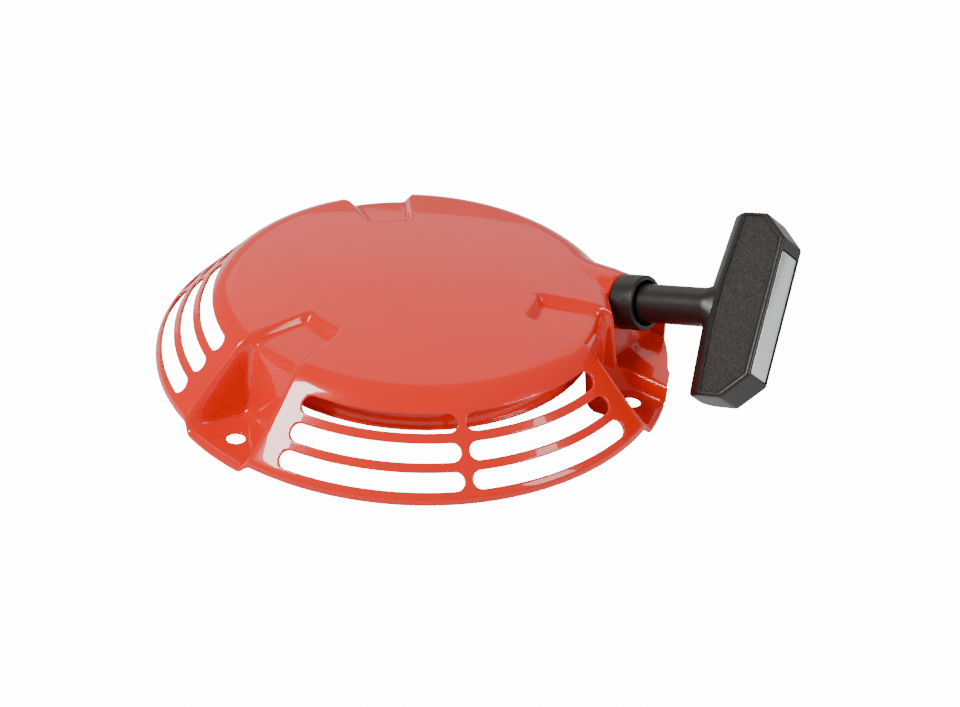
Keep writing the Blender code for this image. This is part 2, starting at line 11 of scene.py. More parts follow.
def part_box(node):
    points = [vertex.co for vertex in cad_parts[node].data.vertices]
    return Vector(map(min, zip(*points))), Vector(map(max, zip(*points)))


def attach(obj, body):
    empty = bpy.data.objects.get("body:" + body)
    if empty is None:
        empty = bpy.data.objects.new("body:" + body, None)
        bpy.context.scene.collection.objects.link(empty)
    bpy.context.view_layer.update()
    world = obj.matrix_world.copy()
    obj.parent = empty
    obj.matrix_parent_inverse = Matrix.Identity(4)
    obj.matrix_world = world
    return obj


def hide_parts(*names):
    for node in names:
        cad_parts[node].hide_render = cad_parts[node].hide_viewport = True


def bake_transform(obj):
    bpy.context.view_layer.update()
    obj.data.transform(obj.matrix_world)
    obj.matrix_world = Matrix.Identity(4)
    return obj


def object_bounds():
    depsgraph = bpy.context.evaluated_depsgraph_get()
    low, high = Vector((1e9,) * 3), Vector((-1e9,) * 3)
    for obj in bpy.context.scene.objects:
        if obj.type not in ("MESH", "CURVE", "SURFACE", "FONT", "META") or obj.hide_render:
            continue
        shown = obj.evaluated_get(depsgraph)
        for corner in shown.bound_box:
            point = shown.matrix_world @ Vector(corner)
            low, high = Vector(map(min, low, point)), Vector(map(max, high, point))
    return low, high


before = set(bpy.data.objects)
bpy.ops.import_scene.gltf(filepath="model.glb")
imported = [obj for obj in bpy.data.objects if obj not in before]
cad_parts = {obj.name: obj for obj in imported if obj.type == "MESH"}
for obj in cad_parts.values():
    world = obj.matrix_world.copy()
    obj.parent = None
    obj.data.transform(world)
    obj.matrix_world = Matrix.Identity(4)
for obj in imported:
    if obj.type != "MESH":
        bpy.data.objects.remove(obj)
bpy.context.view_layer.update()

MM = 0.001
SHEET = 1.2

# Housing, in millimetres, as in the frame
APEX_Z, CROWN_DROP, CROWN_R = 38.6, 2.2, 48.7
SHOULDER_R, KNEE_R, SHOULDER_END_R = 69.0, 74.8, 79.0
CONE_R, CONE_Z, CONE_SLOPE = 82.4, 25.5, 1.05
CONE_STRETCH = math.hypot(1.0, CONE_SLOPE)
END_S = 105.0                          # profile coordinate of the turned-down rim's edge
FEET = (19.5, 139.5, 259.5)
FOOT_TOP_HALF, FOOT_FLOOR_HALF = 10.5, 8.6
BOLT_PITCH_R, BOLT_HOLE_R = 90.5, 3.6
BOLT_CELL_HALF, BOLT_SPAN = 3.2, (86.7, 95.4)
VENT_ROWS = (82.4, 90.0, 97.5)
VENT_SPANS = ((79.1, 85.7), (86.7, 93.3), (94.2, 100.8))      # profile coordinates of the rows' cells
VENT_HALF, VENT_BRIDGE = 3.6, 3.3
VENT_TIP, OUTLET_VENT_TIP = 17.2, 37.0  # degrees from a foot to its first slot
VENT_MIDDLE = 60.0                     # degrees from a foot to the bridge between slot columns
CELL_MARGIN = 0.6
LIP = 0.5                              # radius of the pressed edge round every hole

# Rope outlet
PULL_ELEVATION = math.radians(18.9)
PULL = np.array((math.cos(PULL_ELEVATION), 0.0, math.sin(PULL_ELEVATION)))
SIDE = np.array((0.0, 1.0, 0.0))
LIFT = np.cross(PULL, SIDE)
COLLAR_FACE = np.array((71.7, 57.7, 28.1))
COLLAR_LENGTH, COLLAR_R, COLLAR_RECESS = 10.5, 11.1, 9.0
WALL_POINT = COLLAR_FACE - PULL * (COLLAR_LENGTH + 0.3)
CHANNEL_R, CHANNEL_AXIS_Z = 13.0, 22.0
POCKET_FLOOR_Z = 7.5
NEAR_NORMAL, NEAR_OFFSET = np.array((0.722, 0.692)), 77.6
RAMP_NORMAL, RAMP_OFFSET = np.array((-0.656, 0.755)), -24.6   # rise from the first foot to the pocket
FAR_Y = 70.7
OUTLET_HOLE_R = 6.9
OUTLET_CELL, OUTLET_SPAN = (38.8, 47.2), (78.6, 90.2)

# Grip
BAR_TURN = math.radians(45.0)
BAR_ALONG = LIFT * math.cos(BAR_TURN) + SIDE * math.sin(BAR_TURN)
BAR_FACE = np.cross(PULL, BAR_ALONG)
BAR_CORNERS = ((31.5, -9.0), (33.8, -38.0), (49.7, -38.0), (60.1, -28.4),
               (60.1, 28.4), (49.7, 38.0), (33.8, 38.0), (31.5, 9.0))
BAR_HALF_THICK, BAR_EDGE, BAR_SLOPE = 7.6, 1.2, 5.3
PLATE_HALF_T, PLATE_HALF_N, PLATE_OFFSET = 25.2, 5.6, -1.8
STEM_R, STEM_SIDES, NOSE_S, NOSE_ROUND = 7.75, 64, -7.0, 1.6
ROPE_R = 2.0


# ---------------------------------------------------------------- meshes

def make_mesh(name, points, faces, materials, face_material=None, sharp_angle=40.0):
    """A mesh from points in millimetres, welded, smooth but for edges over the sharp angle."""
    mesh = bpy.data.meshes.new(name)
    mesh.from_pydata((np.asarray(points, float) * MM).tolist(), [], [tuple(f) for f in faces])
    for mat in materials:
        mesh.materials.append(mat)
    if face_material is not None:
        mesh.polygons.foreach_set("material_index", np.asarray(face_material, np.int32))
    work = bmesh.new()
    work.from_mesh(mesh)
    bmesh.ops.remove_doubles(work, verts=work.verts, dist=2e-6)
    work.to_mesh(mesh)
    work.free()
    mesh.shade_smooth()
    mesh.set_sharp_from_angle(angle=math.radians(sharp_angle))
    obj = bpy.data.objects.new(name, mesh)
    bpy.context.scene.collection.objects.link(obj)
    return obj


def dress(obj, body, slot, *nodes):
    """The piece rides on its body and stands for the nodes, which it hides; the slot is not used."""
    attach(obj, body)
    if nodes:
        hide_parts(*nodes)
    return obj


def grid_faces(rows, cols, wrap_rows=False):
    """Quads of a grid of points stored row by row, each row a closed ring."""
    j = np.arange(rows if wrap_rows else rows - 1)
    jj, ii = np.meshgrid(j, np.arange(cols), indexing="ij")
    jn, inx = (jj + 1) % rows, (ii + 1) % cols
    quads = np.stack((jj * cols + ii, jn * cols + ii, jn * cols + inx, jj * cols + inx), -1)
    return quads.reshape(-1, 4)


def capped(rows, cols):
    """The faces of a closed tube of rings, with a face over each end."""
    total = rows * cols
    ends = [tuple(range(cols)), tuple(range(total - 1, total - cols - 1, -1))]
    return grid_faces(rows, cols).tolist() + ends


def rounded_outline(corners, radii, steps):
    """A polygon whose corners are turned by parabolas that start a radius's tangent away."""
    corners = np.asarray(corners, float)
    count, out = len(corners), []
    for k in range(count):
        here = corners[k]
        before, after = corners[k - 1] - here, corners[(k + 1) % count] - here
        lb, la = np.linalg.norm(before), np.linalg.norm(after)
        turn = math.acos(np.clip(np.dot(before, after) / (lb * la), -1, 1))
        cut = min(radii[k] / math.tan(turn / 2), 0.48 * lb, 0.48 * la)
        a, b = here + before / lb * cut, here + after / la * cut
        u = np.linspace(0, 1, steps)[:, None]
        out.append((1 - u) ** 2 * a + 2 * u * (1 - u) * here + u ** 2 * b)
    return np.concatenate(out)


def lathe(outline, segments, closed=True):
    """Points and quads of an outline (r, z) turned about Z; an open one starts and ends on it."""
    a = np.arange(segments) * (2 * math.pi / segments)
    r, z = outline[:, 0], outline[:, 1]
    points = np.stack((r[:, None] * np.cos(a), r[:, None] * np.sin(a),
                       np.repeat(z[:, None], segments, 1)), -1).reshape(-1, 3)
    return points, grid_faces(len(outline), segments, wrap_rows=closed)


def along_pull(points, distance):
    """Points turned about Z moved on to the pull line, their Z along the pull."""
    x, y, z = np.asarray(points).T
    return (COLLAR_FACE + np.outer(z + distance, PULL) - np.outer(x, LIFT) + np.outer(y, SIDE))


def pull_point(s, t, n):
    """A point from its distances along the pull, along the bar and out of its broad face."""
    return (COLLAR_FACE + np.multiply.outer(s, PULL) + np.multiply.outer(t, BAR_ALONG)
            + np.multiply.outer(n, BAR_FACE))


def sweep(path, radius, sides):
    """A round bar: rings square to the path, carried along it without twisting."""
    path = np.asarray(path, float)
    tangent = np.gradient(path, axis=0)
    tangent /= np.linalg.norm(tangent, axis=1)[:, None]
    across = np.zeros_like(path)
    guess = np.array((0.0, 0.0, 1.0))
    for k in range(len(path)):
        guess = guess - tangent[k] * np.dot(guess, tangent[k])
        guess = guess / np.linalg.norm(guess)
        across[k] = guess
    other = np.cross(tangent, across)
    a = np.arange(sides) * (2 * math.pi / sides)
    ring = across[:, None, :] * np.cos(a)[None, :, None] + other[:, None, :] * np.sin(a)[None, :, None]
    points = (path[:, None, :] + ring * radius).reshape(-1, 3)
    faces = [tuple(f[::-1]) for f in grid_faces(len(path), sides)]
    last = (len(path) - 1) * sides
    faces.append(tuple(range(sides - 1, -1, -1)))
    faces.append(tuple(range(last, last + sides)))
    return points, faces


def applied(obj):
    """The object with its modifiers worked into its mesh."""
    bpy.context.view_layer.update()
    baked = bpy.data.meshes.new_from_object(obj.evaluated_get(bpy.context.evaluated_depsgraph_get()))
    obj.modifiers.clear()
    obj.data = baked
    return obj


def boolean(target, tool, operation):
    """Cut or join with an exact Boolean, after which the tool is gone."""
    mod = target.modifiers.new(operation, "BOOLEAN")
    mod.operation, mod.object, mod.solver = operation, tool, "EXACT"
    applied(target)
    bpy.data.objects.remove(tool)
    return target


def outward(obj):
    """Face normals worked out again so that they all point out."""
    work = bmesh.new()
    work.from_mesh(obj.data)
    bmesh.ops.remove_doubles(work, verts=work.verts, dist=2e-6)
    bmesh.ops.recalc_face_normals(work, faces=work.faces)
    work.to_mesh(obj.data)
    work.free()
    return obj


def softened(node, name, mat, width):
    """A copy of a frame node, merged, its flat faces joined and its edges rounded."""
    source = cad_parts[node]
    mesh = source.data.copy()
    mesh.name = name
    mesh.materials.clear()
    mesh.materials.append(mat)
    work = bmesh.new()
    work.from_mesh(mesh)
    bmesh.ops.remove_doubles(work, verts=work.verts, dist=2e-6)
    bmesh.ops.dissolve_limit(work, angle_limit=math.radians(1.0), verts=work.verts, edges=work.edges)
    for face in work.faces:
        face.material_index = 0
        face.smooth = True
    for edge in work.edges:
        edge.smooth = True
    work.to_mesh(mesh)
    work.free()
    obj = bpy.data.objects.new(name, mesh)
    bpy.context.scene.collection.objects.link(obj)
    if "custom_normal" in mesh.attributes:
        mesh.attributes.remove(mesh.attributes["custom_normal"])
    mod = obj.modifiers.new("Edges", "BEVEL")
    mod.width, mod.segments = width * MM, 2
    mod.limit_method, mod.angle_limit = "ANGLE", math.radians(30.0)
    mod.use_clamp_overlap = True
    applied(obj)
    obj.data.shade_smooth()
    obj.data.set_sharp_from_angle(angle=math.radians(50.0))
    return obj


# ---------------------------------------------------------------- materials

def new_group(name, inputs, outputs):
    """A shader node group with float inputs (name, value) and named outputs (name, kind)."""
    group = bpy.data.node_groups.new(name, "ShaderNodeTree")
    for label, value in inputs:
        socket = group.interface.new_socket(label, in_out="INPUT", socket_type="NodeSocketFloat")
        socket.default_value = value
    for label, kind in outputs:
        group.interface.new_socket(label, in_out="OUTPUT", socket_type=kind)
    nodes = group.nodes
    return group, nodes.new("NodeGroupInput"), nodes.new("NodeGroupOutput")


def math_node(nodes, links, operation, a, b=None, clamp=False):
    """The output of a maths node on one or two values or sockets."""
    node = nodes.new("ShaderNodeMath")
    node.operation, node.use_clamp = operation, clamp
    for socket, value in zip(node.inputs, (a, b)):
        if value is None:
            continue
        if isinstance(value, (int, float)):
            socket.default_value = value
        else:
            links.new(value, socket)
    return node.outputs[0]


def noise(nodes, links, coords, scale, detail, roughness=0.5):
    """The grey value of a noise texture."""
    node = nodes.new("ShaderNodeTexNoise")
    node.inputs["Detail"].default_value = detail
    node.inputs["Roughness"].default_value = roughness
    if isinstance(scale, (int, float)):
        node.inputs["Scale"].default_value = scale
    else:
        links.new(scale, node.inputs["Scale"])
    links.new(coords, node.inputs["Vector"])
    return node.outputs["Fac"]


def surface_group():
    """Fine relief: a soft ripple and a sharper grain, each with its own scale and depth (m)."""
    group, inp, out = new_group(
        "Surface Relief",
        (("Ripple Scale", 300.0), ("Ripple Depth", 0.0), ("Grain Scale", 1500.0), ("Grain Depth", 0.0)),
        (("Normal", "NodeSocketVector"),))
    nodes, links = group.nodes, group.links
    coords = nodes.new("ShaderNodeTexCoord").outputs["Object"]
    ripple = noise(nodes, links, coords, inp.outputs["Ripple Scale"], 1.0)
    cells = nodes.new("ShaderNodeTexVoronoi")
    cells.feature = "SMOOTH_F1"
    links.new(inp.outputs["Grain Scale"], cells.inputs["Scale"])
    links.new(coords, cells.inputs["Vector"])
    fine_scale = math_node(nodes, links, "MULTIPLY", inp.outputs["Grain Scale"], 1.7)
    fine = noise(nodes, links, coords, fine_scale, 3.0)
    grain = math_node(nodes, links, "MULTIPLY", cells.outputs["Distance"], fine)
    height = math_node(nodes, links, "ADD",
                       math_node(nodes, links, "MULTIPLY", ripple, inp.outputs["Ripple Depth"]),
                       math_node(nodes, links, "MULTIPLY", grain, inp.outputs["Grain Depth"]))
    bump = nodes.new("ShaderNodeBump")
    bump.inputs["Distance"].default_value = 1.0
    bump.inputs["Strength"].default_value = 1.0
    links.new(height, bump.inputs["Height"])
    links.new(bump.outputs["Normal"], out.inputs["Normal"])
    return group


def wear_group():
    """Handling marks: cloudy variation, thin scuffs and dust that settles on upward faces."""
    group, inp, out = new_group(
        "Handling Marks", (("Cloud Scale", 25.0), ("Scuff Scale", 180.0), ("Scuff Amount", 0.5)),
        (("Cloud", "NodeSocketFloat"), ("Scuff", "NodeSocketFloat"), ("Dust", "NodeSocketFloat")))
    nodes, links = group.nodes, group.links
    coords = nodes.new("ShaderNodeTexCoord").outputs["Object"]
    cloud = noise(nodes, links, coords, inp.outputs["Cloud Scale"], 4.0, 0.6)
    stretch = nodes.new("ShaderNodeMapping")
    stretch.inputs["Scale"].default_value = (1.0, 0.12, 0.3)
    stretch.inputs["Rotation"].default_value = (0.3, 0.2, 0.7)
    links.new(coords, stretch.inputs["Vector"])
    streak = noise(nodes, links, stretch.outputs[0], inp.outputs["Scuff Scale"], 2.0, 0.7)
    ramp = nodes.new("ShaderNodeMapRange")
    ramp.inputs["From Min"].default_value = 0.62
    ramp.inputs["From Max"].default_value = 0.78
    links.new(streak, ramp.inputs["Value"])
    scuff = math_node(nodes, links, "MULTIPLY", ramp.outputs[0], inp.outputs["Scuff Amount"])
    up = nodes.new("ShaderNodeSeparateXYZ")
    links.new(nodes.new("ShaderNodeNewGeometry").outputs["Normal"], up.inputs[0])
    dust = math_node(nodes, links, "MULTIPLY", math_node(nodes, links, "MAXIMUM", up.outputs["Z"], 0.0),
                     math_node(nodes, links, "POWER", cloud, 2.0))
    links.new(cloud, out.inputs["Cloud"])
    links.new(scuff, out.inputs["Scuff"])
    links.new(dust, out.inputs["Dust"])
    return group


RELIEF = surface_group()
MARKS = wear_group()


def place_group(nodes, group, values):
    """A shared group placed in a material with its own values."""
    node = nodes.new("ShaderNodeGroup")
    node.node_tree = group
    for label, value in values.items():
        node.inputs[label].default_value = value
    return node


def blend_color(nodes, links, factor, dark, light):
    """A colour between two, by a factor that changes over the surface."""
    mix = nodes.new("ShaderNodeMix")
    mix.data_type = "RGBA"
    links.new(factor, mix.inputs[0])
    for socket, color in ((mix.inputs[6], dark), (mix.inputs[7], light)):
        if isinstance(color, tuple):
            socket.default_value = (*color, 1.0)
        else:
            links.new(color, socket)
    return mix.outputs[2]


DUST_COLOR = (0.45, 0.42, 0.38)
CLOUD_ROUGHNESS, SCUFF_ROUGHNESS = 0.08, 0.2


def finish_material(name, dark, light, rough, relief, marks, metallic=0.0, coat=0.0, coat_rough=0.05,
                    specular=0.5, dust=0.0):
    """A finish: colour that drifts between two tones, roughness raised by scuffs, fine relief."""
    mat = bpy.data.materials.new(name)
    mat.use_nodes = True
    nodes, links = mat.node_tree.nodes, mat.node_tree.links
    shader = nodes["Principled BSDF"]
    shader.inputs["Metallic"].default_value = metallic
    shader.inputs["Coat Weight"].default_value = coat
    shader.inputs["Coat Roughness"].default_value = coat_rough
    shader.inputs["Specular IOR Level"].default_value = specular
    surface = place_group(nodes, RELIEF, relief)
    mark = place_group(nodes, MARKS, marks)
    color = blend_color(nodes, links, mark.outputs["Cloud"], dark, light)
    if dust:
        amount = math_node(nodes, links, "MULTIPLY", mark.outputs["Dust"], dust)
        color = blend_color(nodes, links, amount, color, DUST_COLOR)
    links.new(color, shader.inputs["Base Color"])
    spread = math_node(nodes, links, "MULTIPLY_ADD", mark.outputs["Cloud"], CLOUD_ROUGHNESS)
    spread.node.inputs[2].default_value = rough - CLOUD_ROUGHNESS / 2
    scuffed = math_node(nodes, links, "MULTIPLY", mark.outputs["Scuff"], SCUFF_ROUGHNESS)
    roughness = math_node(nodes, links, "ADD", spread, scuffed, clamp=True)
    links.new(roughness, shader.inputs["Roughness"])
    links.new(surface.outputs["Normal"], shader.inputs["Normal"])
    return mat


BRAID_STRANDS, BRAID_PITCH, BRAID_DEPTH = 8, 3.2, 0.00022       # strands, mm of rope, metres


def rope_material():
    """Braided nylon: two families of strands crossing round the rope, from the rope's own map. Its colour is
    painted shade in the valleys between strands and lighter on the crests.
    """
    mat = bpy.data.materials.new("braided_rope")
    mat.use_nodes = True
    nodes, links = mat.node_tree.nodes, mat.node_tree.links
    shader = nodes["Principled BSDF"]
    uv = nodes.new("ShaderNodeUVMap")
    uv.uv_map = "braid"
    parts = nodes.new("ShaderNodeSeparateXYZ")
    links.new(uv.outputs[0], parts.inputs[0])
    around = math_node(nodes, links, "MULTIPLY", parts.outputs[0], 2 * math.pi * BRAID_STRANDS)
    along = math_node(nodes, links, "MULTIPLY", parts.outputs[1], 2 * math.pi / BRAID_PITCH)
    plus = math_node(nodes, links, "SINE", math_node(nodes, links, "ADD", around, along))
    minus = math_node(nodes, links, "SINE", math_node(nodes, links, "SUBTRACT", around, along))
    weave = math_node(nodes, links, "MULTIPLY", plus, minus)
    height = math_node(nodes, links, "MULTIPLY", weave, BRAID_DEPTH)
    bump = nodes.new("ShaderNodeBump")
    bump.inputs["Distance"].default_value = 1.0
    links.new(height, bump.inputs["Height"])
    shade = nodes.new("ShaderNodeMapRange")
    shade.inputs["From Min"].default_value = -1.0
    links.new(weave, shade.inputs["Value"])
    coords = nodes.new("ShaderNodeTexCoord").outputs["Object"]
    drift = noise(nodes, links, coords, 900.0, 3.0)
    # Painted shade: the rope's colour follows the weave's height, darker in the valleys between strands and
    # lighter on the crests.
    base = blend_color(nodes, links, shade.outputs[0], (0.40, 0.38, 0.33), (0.78, 0.76, 0.70))
    soiling = math_node(nodes, links, "MULTIPLY", drift, 0.35)
    soil = blend_color(nodes, links, soiling, base, (0.35, 0.33, 0.30))
    links.new(soil, shader.inputs["Base Color"])
    links.new(bump.outputs["Normal"], shader.inputs["Normal"])
    shader.inputs["Roughness"].default_value = 0.75
    shader.inputs["Sheen Weight"].default_value = 0.3
    return mat


RED = finish_material(
    "red_enamel", (0.86, 0.010, 0.0), (0.95, 0.018, 0.0), 0.22,
    {"Ripple Scale": 420.0, "Ripple Depth": 0.00004, "Grain Scale": 2500.0, "Grain Depth": 0.0},
    {"Cloud Scale": 30.0, "Scuff Scale": 240.0, "Scuff Amount": 0.12},
    coat=0.8, coat_rough=0.03, specular=0.15)
NYLON = finish_material(
    "black_nylon", (0.007, 0.0065, 0.006), (0.014, 0.013, 0.012), 0.34,
    {"Ripple Scale": 500.0, "Ripple Depth": 0.00004, "Grain Scale": 2600.0, "Grain Depth": 0.00006},
    {"Cloud Scale": 60.0, "Scuff Scale": 300.0, "Scuff Amount": 0.6}, dust=0.04)
GRAINED_NYLON = finish_material(
    "grained_nylon", (0.030, 0.029, 0.027), (0.065, 0.063, 0.058), 0.52,
    {"Ripple Scale": 900.0, "Ripple Depth": 0.00010, "Grain Scale": 1250.0, "Grain Depth": 0.0026},
    {"Cloud Scale": 1400.0, "Scuff Scale": 300.0, "Scuff Amount": 0.4}, dust=0.10)
REEL_NYLON = finish_material(
    "glass_filled_nylon", (0.030, 0.030, 0.034), (0.062, 0.062, 0.066), 0.46,
    {"Ripple Scale": 700.0, "Ripple Depth": 0.00006, "Grain Scale": 1800.0, "Grain Depth": 0.00018},
    {"Cloud Scale": 90.0, "Scuff Scale": 260.0, "Scuff Amount": 0.8}, dust=0.06)
ZINC = finish_material(
    "zinc_plated_steel", (0.46, 0.47, 0.47), (0.66, 0.67, 0.66), 0.34,
    {"Ripple Scale": 260.0, "Ripple Depth": 0.00004, "Grain Scale": 3000.0, "Grain Depth": 0.00006},
    {"Cloud Scale": 120.0, "Scuff Scale": 400.0, "Scuff Amount": 1.0}, metallic=1.0)
SPRING = finish_material(
    "blued_spring_steel", (0.10, 0.115, 0.15), (0.24, 0.25, 0.27), 0.30,
    {"Ripple Scale": 400.0, "Ripple Depth": 0.00003, "Grain Scale": 3000.0, "Grain Depth": 0.00003},
    {"Cloud Scale": 150.0, "Scuff Scale": 500.0, "Scuff Amount": 0.8}, metallic=1.0)
SILVER = finish_material(
    "satin_silver", (0.66, 0.70, 0.68), (0.80, 0.84, 0.82), 0.24,
    {"Ripple Scale": 90.0, "Ripple Depth": 0.00003, "Grain Scale": 3000.0, "Grain Depth": 0.00002},
    {"Cloud Scale": 40.0, "Scuff Scale": 500.0, "Scuff Amount": 0.8}, metallic=0.85)
ROPE = rope_material()


# ---------------------------------------------------------------- housing

def crown_z(s):
    """The crown's height: a parabola."""
    return APEX_Z - CROWN_DROP * (s / CROWN_R) ** 2


def cone_z(r):
    """The vented cone's height: a straight slope."""
    return CONE_Z - CONE_SLOPE * (r - CONE_R)


def rounded_path(s, knots, cuts):
    """r and z along straight runs between (s, r, z) knots, each corner turned by a parabola."""
    knots = np.asarray(knots, float)
    places, values = knots[:, 0], knots[:, 1:]
    straight = np.stack([np.interp(s, places, v) for v in values.T], -1)
    for place, corner, cut in zip(places[1:-1], values[1:-1], cuts):
        a = np.array([np.interp(place - cut, places, v) for v in values.T])
        b = np.array([np.interp(place + cut, places, v) for v in values.T])
        u = np.clip((s - place + cut) / (2 * cut), 0, 1)[..., None]
        turned = (1 - u) ** 2 * a + 2 * u * (1 - u) * corner + u ** 2 * b
        straight = np.where((u > 0) & (u < 1), turned, straight)
    return straight[..., 0], straight[..., 1]


PLATE_START_S, PLATE_START_R = 80.4, 79.0
PLATE_END_S, PLATE_END_R = 101.2, 101.4
RECESS_START = 44.0
SKIRT_KNOTS = ((SHOULDER_END_R, SHOULDER_END_R, cone_z(SHOULDER_END_R)), (101.2, 101.2, cone_z(101.2)),
               (102.6, 102.0, cone_z(102.0) - 0.4), (END_S, 102.0, 2.1))
SKIRT_CUTS = (0.9, 0.9)
FOOT_KNOTS = ((RECESS_START, RECESS_START, crown_z(RECESS_START)), (47.5, 47.5, crown_z(47.5)),
              (51.0, 51.0, 32.8), (60.0, 60.0, 32.0), (69.0, 70.0, 31.0), (71.8, 72.6, 29.9),
              (73.6, 73.8, 27.0), (78.6, 76.4, 3.4), (PLATE_START_S, PLATE_START_R, SHEET),
              (PLATE_END_S, PLATE_END_R, SHEET), (103.2, 103.0, 0.0), (END_S, 103.0, -1.5))
FOOT_CUTS = (1.3, 1.3, 2.0, 1.5, 0.9, 0.6, 0.45, 0.8, 0.8, 0.7)
FOOT_STRETCH = (PLATE_END_R - PLATE_START_R) / (PLATE_END_S - PLATE_START_S)


def skirt(s):
    """Crown parabola, shoulder as a quadratic curve towards its knee, straight cone and rim. The
    curve's parameter u solves r(u) = s, where r(u) = SHOULDER_R + rise * u - bend * u squared."""
    rise = 2 * (KNEE_R - SHOULDER_R)
    bend = 2 * KNEE_R - SHOULDER_R - SHOULDER_END_R
    past = np.clip(s, SHOULDER_R, SHOULDER_END_R) - SHOULDER_R
    u = (rise - np.sqrt(np.maximum(rise ** 2 - 4 * bend * past, 0))) / (2 * bend)
    shoulder = ((1 - u) ** 2 * crown_z(SHOULDER_R) + 2 * u * (1 - u) * cone_z(KNEE_R)
                + u ** 2 * cone_z(SHOULDER_END_R))
    low_r, low_z = rounded_path(s, SKIRT_KNOTS, SKIRT_CUTS)
    z = np.where(s <= SHOULDER_R, crown_z(s), np.where(s <= SHOULDER_END_R, shoulder, low_z))
    return np.where(s <= SHOULDER_END_R, s, low_r), z


def foot(s):
    """Recess in the crown, drop wall, plate and turned-down lip."""
    r, z = rounded_path(s, FOOT_KNOTS, FOOT_CUTS)
    on_crown = s < RECESS_START
    return np.where(on_crown, s, r), np.where(on_crown, crown_z(s), z)


def foot_share(azimuth):
    """1 on a foot, 0 off it, a straight ramp with rounded ends over the side wall."""
    away = np.min([np.abs((azimuth - f + 180.0) % 360.0 - 180.0) for f in FEET], axis=0)
    x = (FOOT_TOP_HALF - away) / (FOOT_TOP_HALF - FOOT_FLOOR_HALF)
    soft = 0.46
    low = (np.clip(x + soft, 0, 2 * soft)) ** 2 / (4 * soft)
    high = (np.clip(1 - x + soft, 0, 2 * soft)) ** 2 / (4 * soft)
    middle = np.where(x < soft, low, np.where(x > 1 - soft, 1 - high, x))
    return np.clip(middle, 0, 1)


def soft_min(a, b, width):
    """The lower of two heights, the crease between them turned over a width."""
    h = np.maximum(width - np.abs(a - b), 0) / width
    return np.minimum(a, b) - h * h * width / 4


def soft_max(a, b, width):
    """The higher of two heights, the crease between them turned over a width."""
    return -soft_min(-a, -b, width)


CHANNEL_EDGE = 0.955                   # share of the radius after which the sides run straight
CHANNEL_FADE, CHANNEL_FADE_X, OUTLET_X = 0.09, 52.0, 25.0
POCKET_NEAR_SLOPE, POCKET_FAR_SLOPE, POCKET_SOFT = 8.0, 6.0, 2.6
FAR_AWAY = 1000.0


def channel_height(x, y):
    """Round top of the rope channel, its sides carried down at the slope they have there."""
    away = np.abs(y - COLLAR_FACE[1])
    edge = CHANNEL_R * CHANNEL_EDGE
    inside = np.sqrt(np.maximum(CHANNEL_R ** 2 - np.minimum(away, edge) ** 2, 0))
    slope = edge / math.sqrt(CHANNEL_R ** 2 - edge ** 2)
    height = CHANNEL_AXIS_Z + inside - slope * np.maximum(away - edge, 0)
    fade = CHANNEL_FADE * np.maximum(CHANNEL_FADE_X - x, 0)
    return np.where(x < OUTLET_X, -FAR_AWAY, height - fade)


def pocket_height(x, y):
    """Pocket before the outlet wall: floor, tilted wall, near side towards the foot, far side."""
    wall = WALL_POINT[2] + (WALL_POINT[0] - x) * PULL[0] / PULL[2]
    to_near = NEAR_OFFSET + 1.3 - NEAR_NORMAL[0] * x - NEAR_NORMAL[1] * y
    height = np.full_like(x, POCKET_FLOOR_Z)
    for side in (wall, POCKET_FLOOR_Z + POCKET_NEAR_SLOPE * to_near,
                 POCKET_FLOOR_Z + POCKET_FAR_SLOPE * (y - FAR_Y + 0.6)):
        height = soft_max(height, side, POCKET_SOFT)
    return np.where((x > 30.0) & (y > 20.0), height, FAR_AWAY)


def housing_point(s, azimuth):
    """Outer surface: skirt and foot profiles mixed by the foot's share, then channel and pocket."""
    (rs, zs), (rf, zf) = skirt(s), foot(s)
    share = foot_share(azimuth)
    a = np.radians(azimuth)
    cos_a, sin_a = np.cos(a), np.sin(a)
    ramp = SHEET + RAMP_NORMAL[0] * rf * cos_a + RAMP_NORMAL[1] * rf * sin_a - RAMP_OFFSET
    lifted = soft_max(zf, soft_min(ramp, zs, 1.0), 2.6)
    by_outlet = np.abs(azimuth - FEET[0] - 6.0) < 12.0
    zf = np.where(by_outlet, lifted, zf)
    r, z = rs + (rf - rs) * share, zs + (zf - zs) * share
    x, y = r * cos_a, r * sin_a
    near_outlet = (x > OUTLET_X) & (y > OUTLET_X)
    shaped = soft_min(soft_max(z, channel_height(x, y), 2.0), pocket_height(x, y), 1.8)
    return np.stack((x, y, np.where(near_outlet, shaped, z)), -1)


def housing_normal(s, azimuth):
    """Unit normal from central differences along the profile and round the axis."""
    ds, da = 0.02, 0.02
    along = housing_point(s + ds, azimuth) - housing_point(np.maximum(s - ds, 1e-4), azimuth)
    round_ = housing_point(s, azimuth + da) - housing_point(s, azimuth - da)
    n = np.cross(along, round_)
    return n / np.maximum(np.linalg.norm(n, axis=-1), 1e-12)[..., None]


def stations(*runs):
    """Increasing stations from (start, end, step) runs, ends included once."""
    out = []
    for start, end, step in runs:
        count = max(1, int(round((end - start) / step)))
        out.append(np.linspace(start, end, count + 1))
    return np.unique(np.round(np.concatenate(out), 5))


